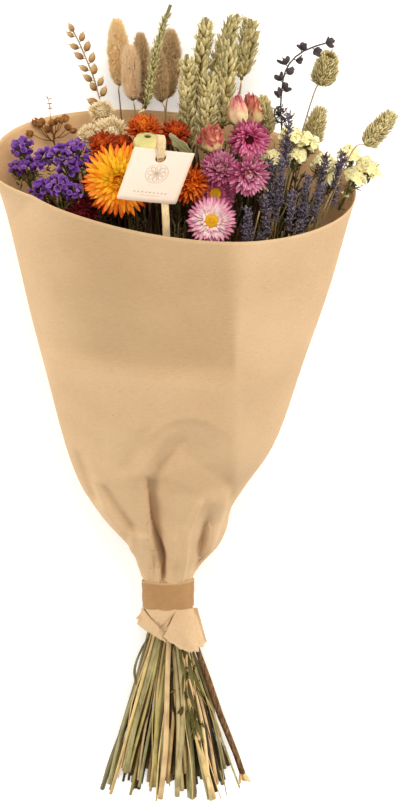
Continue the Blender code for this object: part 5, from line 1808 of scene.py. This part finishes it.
PINK = plant(
    "pink petals", "0:8c2848 0.3:d66e9c 0.75:f6b8d0 1:ffdee8", "0:6e1834 0.3:b84c7a 0.75:de80aa 1:e89cbc",
    0.2, "a0325c", 0.55, 1.3
)
PALE_PINK = plant(
    "pale pink petals", "0:fffae8 0.6:fff2ec 0.85:f4bece 1:d66892",
    "0:fceedc 0.55:fadede 0.82:e492b2 1:be4678", 0.12, "ce6e92", 0.55, 1.6
)
ROSE_DAISY = plant("deep pink petals", "781e3c ce608e e896b8", "5a102c b03a6c d26e98", 0.2, "8c244e", 0.55)
MAGENTA = plant("magenta petals", "781032 e66498 fcb0ce", "5e0824 ce4a7e f48eb6", 0.18, "962250", 0.55, 1.8)
DISC = plant("disc florets", "c47814 f0c028", "d28c18 fad63c", 0.2, "f0be24", 0.7)
BUD = plant("white bracts", "96743e fae2ae fff8de", "866636 f4d69c fff0cc", 0.12, rough=0.5)
ROSE_PINK = rose_finish("pink rose", "0.46:e8d6a2 0.76:de9888 0.98:b2365a")
ROSE_PEACH = rose_finish("peach rose", "0.46:d8be86 0.76:cc7e64 0.98:ac3a48")
PURPLE = plant("purple florets", "180828 54227c 8a4eb8", "280c3a 70349a b482d2", 0.3, rough=0.65)
CREAM = plant("cream florets", "f6e488 fff4b4 fffad2", "e8d67c fceca4 fff6c4", 0.04, rough=0.65)
GREEN = plant("olive stalks", "5c562c 787040", "4e4624 847a46", 0.4, rough=0.7)
LAVENDER = plant("lavender buds", "584c4c 6a5e72 a89eb2", "2c2426 463c4c 70647c", 0.35, "4e423e", 0.8)
FLAX = plant("flax pods", "78582e be9862 d8ba8a", "684a26 a8804e ceac7a", 0.5, rough=0.6)
DARK = plant("dark pods", "2e282c 4c444a", "3c3232 625658", 0.3, rough=0.7)
BERRY = plant("brown pods", "784826 b87c42", "925c30 ce9658", 0.5, rough=0.6)
# Painted shade: the capsule turns dark brown inside its mouth.
POD = plant(
    "seed capsule", "0:b0aa64 0.6:d4ce86 0.86:c6bc78 0.96:54462a",
    "0:bab26c 0.6:dad28e 0.86:cec07e 0.96:5c4c2e", 0.3, rough=0.55
)
# Painted shade: the filling of the sleeve's mouth is coloured near black, for the shade among the stems.
DEEP_GREEN = plant("shaded stalks", "3e3a1e 5c5632", "4a3c22 70623a", 0.4, rough=0.75)
SHADE_DARK_LEAF = plant("dry leaf in painted shade", "282212 4a3e22", "321c12 5c3a22", 0.5, rough=0.75)
OLIVE_LEAF = plant("olive dry leaf", "545024 7a7438", "3a3018 685c2c", 0.45, rough=0.75)
LEAF = plant("dry leaf", "888a5c a6a87a", "969668 b6b68a", 0.4, rough=0.7)


# ---- the pieces

PLATE = Plate("card")
show("sleeve", paper_sleeve(), KRAFT, "kraft_paper", "kraft_sleeve")
show("skirt_flaps", skirt_flaps(), KRAFT, "kraft_paper", "kraft_sleeve")
show("band", paper_band(), BAND, "paper_band", "paper_band")
show("card_sheet", card_body(PLATE), CARD, "card", "card")
show("card_ornament", card_lines(PLATE), INK, "card")
show("strip", strip_paper(PLATE), STRIP, "paper_strip", "card_strip")
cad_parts["binding_twine"].data.materials.clear()
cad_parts["binding_twine"].data.materials.append(TWINE)

SEATS = []  # where each stem ends under its head, the way it points there, and its thickness


def seat_spike(node, seed, thick):
    """Keeps the foot of a spike, so that a stem can rise to it."""
    head = Spike(samples(node, 600, seed)[0])
    SEATS.append((head.foot, unit(head.line[2] - head.line[0]), thick))


def seat_bloom(node):
    """Keeps the foot of a round head in the same way."""
    head = Head(solid(node)[0])
    SEATS.append((head.foot, head.axis, 1.9))


for k in range(1, 6):
    node = f"bunny_tail_{k}"
    show(f"tail_{k}", bunny_tail(node, k), {1: TAIL_PALE, 2: TAIL_ROSY}.get(k, TAIL), "bunny_tail", node)
    seat_spike(node, k, 1.1)
for k in range(1, 8):
    node, first = f"wheat_ear_{k}", k == 1
    show(
        f"wheat_{k}", wheat(node, 10 + k, 1.15 if first else 1.85), WHEAT_GREEN if first else WHEAT,
        "wheat", node
    )
    seat_spike(node, k, 1.7)
for k in range(1, 5):
    node = f"canary_grass_{k}"
    show(f"canary_{k}", canary_grass(node, 20 + k, 1.35 if k == 1 else 1.05), CANARY, "canary_grass", node)
    seat_spike(node, k, 0.9)
show("strawflower_gold", strawflower_large("strawflower_1", 31), GOLD, "strawflower_gold", "strawflower_1")
for k in range(2, 8):
    node, finish = f"strawflower_{k}", {2: ORANGE, 6: ORANGE, 7: MAROON}.get(k, RED)
    bracts = strawflower_small(node, 30 + k, {2: 0.98, 3: 0.9}.get(k, 1.12))
    show(f"{node}_bracts", bracts, finish, "strawflower_red", node)
for k in range(1, 6):
    node, finish = f"daisy_{k}", {1: PALE_PINK, 2: MAGENTA, 5: ROSE_DAISY}.get(k, PINK)
    show(
        f"{node}_petals", daisy(node, 40 + k, {2: 0.25, 3: 0.75, 4: 0.6}.get(k, 0.0)), finish, "daisy", node
    )
    head = Head(solid(node)[0])
    if k in (1, 5):
        top = Head(solid(f"daisy_disc_{k}")[0])
        disc = disc_on(head, top.radius, top.length, (top.foot - head.foot) @ head.axis, 50 + k)
        show(f"{node}_disc", disc, DISC, "daisy_disc", f"daisy_disc_{k}")
    else:
        disc = disc_on(head, head.radius * (0.32 if k == 2 else 0.22), 2.0, head.radius * 0.26, 50 + k)
        show(f"{node}_disc", disc, MAROON if k == 2 else DISC, "daisy_disc")
for k in range(1, 4):
    node = f"rose_{k}"
    show(f"bud_{k}", bud(f"white_bud_{k}", 60 + k), BUD, "white_bud", f"white_bud_{k}")
    petals = rose(node, 65 + k, (0.0, 0.5, 0.6)[k - 1])
    show(f"{node}_petals", petals, ROSE_PINK if k == 1 else ROSE_PEACH, "rose", node)
    show(f"{node}_sepals", sepals(node, 65 + k), GREEN, "stem", node)
for kind, count in (("strawflower", 7), ("daisy", 5), ("white_bud", 3), ("rose", 3)):
    for k in range(1, count + 1):
        seat_bloom(f"{kind}_{k}")


def spray(kind, k, seed, finish, *sizes):
    """Shows a spray of statice: its florets, of the sizes and places given, and its stalks."""
    node = f"{kind}_{k}"
    show(f"{node}_florets", statice(node, seed, *sizes), finish, kind, node)
    show(f"{node}_stalks", statice_green(node, seed), GREEN, "stem", node)


for k in range(1, 4):
    spray("purple_statice", k, 70 + k, PURPLE, 2.3, 4.2, 3.4, 0.5, -3.0)
for k in range(1, 5):
    spray("cream_statice", k, 80 + k, CREAM, 2.7, 3.4, 2.0, 0.12, -1.5)
    node = f"lavender_{k}"
    show(f"{node}_buds", lavender(node, 90 + k), LAVENDER, "lavender", node)
    show(f"{node}_stems", lavender_stems(node, 90 + k), STEM, "stem", node)
stalk, pods = flax("flax_spray", 101)
show("flax_stalk", stalk, STEM, "stem", "flax_spray")
show("flax_pods", pods, FLAX, "flax", "flax_spray")
show("dark_pods", dark_pods("dark_spray", 102), DARK, "dark_spray", "dark_spray")
show("brown_pods", berries("berry_sprig", 103), BERRY, "berry", "berry_sprig")
show("capsule", seed_capsule("seed_pod"), POD, "seed_pod", "seed_pod")
show("dry_leaf", leaf_blade("leaf"), LEAF, "leaf", "leaf")
seat_bloom("seed_pod")
show("stems_below", lower_stems(), STEM, "stem", "stems")
show("stems_above", upper_stems(*map(array, zip(*SEATS))), STEM, "stem", "stems")
leaves, bracts = filling()
show("inner_leaves", leaves, SHADE_DARK_LEAF, "leaf", "stems")
show("inner_bracts", bracts, DEEP_GREEN, "stem", "stems")
show("leaves_below", leaves_below(), OLIVE_LEAF, "leaf", "stems")
show("woody", woody(), BARK, "woody_stem", "woody_stem")


# ---- floor, light and camera

LIT_POINT = (0.0, 0.02, 0.06)  # what the lamps look at, in metres
SEEN_POINT = (23.3, 160.2, 60.0)  # what the camera looks at: right of the tie, along from it, above the table
AWAY, SEEN_HEIGHT = 2.0, 0.5635  # the camera's distance and how much it sees there, in metres
TILT = 20.0  # the camera's lean, in degrees


def floor():
    """A plain pale floor."""
    mesh = bpy.data.meshes.new("floor")
    corners = array([(-4.0, -4.0, 0.0), (4.0, -4.0, 0.0), (4.0, 4.0, 0.0), (-4.0, 4.0, 0.0)])
    mesh.from_pydata(corners.tolist(), [], [(0, 1, 2, 3)])
    glow = {"Emission_Color": (1.0, 1.0, 1.0, 1.0), "Emission_Strength": 0.28}
    paint = Paint("floor", Roughness=0.9, Specular_IOR_Level=0.1, **glow)
    shade = paint.noise(paint.place(), 3.0, 1.0)
    colour = paint.ramp(shade, (0.3, (0.93, 0.93, 0.935, 1)), (0.7, (0.95, 0.95, 0.95, 1)))
    mesh.materials.append(paint.finish(colour))
    placed("floor", mesh)


def lamp(name, place, size, power, colour):
    """A soft square light that looks at the bouquet."""
    light = bpy.data.lights.new(name, "AREA")
    light.size = size
    light.energy = power
    light.color = colour
    lit = placed(name, light)
    aim = Vector(LIT_POINT) - Vector(place)
    lit.location = place
    lit.rotation_euler = aim.to_track_quat("-Z", "Y").to_euler()


def camera():
    """Looks down on the bouquet, leaning to the flowers' side."""
    tilt = math.radians(TILT)
    back = Vector((0.0, math.sin(tilt), math.cos(tilt)))
    up = Vector((0.0, math.cos(tilt), -math.sin(tilt)))
    aim = Vector((FOOT + SEEN_POINT) * MM)
    view = bpy.data.cameras.new("camera")
    view.sensor_fit = "VERTICAL"
    view.sensor_height = 24.0
    view.lens = view.sensor_height * AWAY / SEEN_HEIGHT
    view.clip_start, view.clip_end = 0.05, 50.0
    seen = placed("camera", view)
    turn = Matrix((Vector((1.0, 0.0, 0.0)), up, back)).transposed().to_4x4()
    seen.matrix_world = Matrix.Translation(aim + back * AWAY) @ turn
    bpy.context.scene.camera = seen


floor()
lamp("left", (-1.9, -0.6, 1.0), 1.1, 31.0, (1.0, 0.96, 0.88))
lamp("right", (2.0, -0.2, 1.0), 1.1, 31.0, (1.0, 0.96, 0.88))
lamp("above", (0.2, 1.6, 1.7), 1.5, 36.0, (1.0, 0.965, 0.89))
world = bpy.data.worlds.new("studio")
bpy.context.scene.world = world
world.use_nodes = True
sky = world.node_tree.nodes["Background"]
sky.inputs["Color"].default_value = (1.0, 0.98, 0.94, 1.0)
sky.inputs["Strength"].default_value = 0.44
bpy.context.scene.view_settings.view_transform = "Standard"
camera()

bpy.context.view_layer.update()
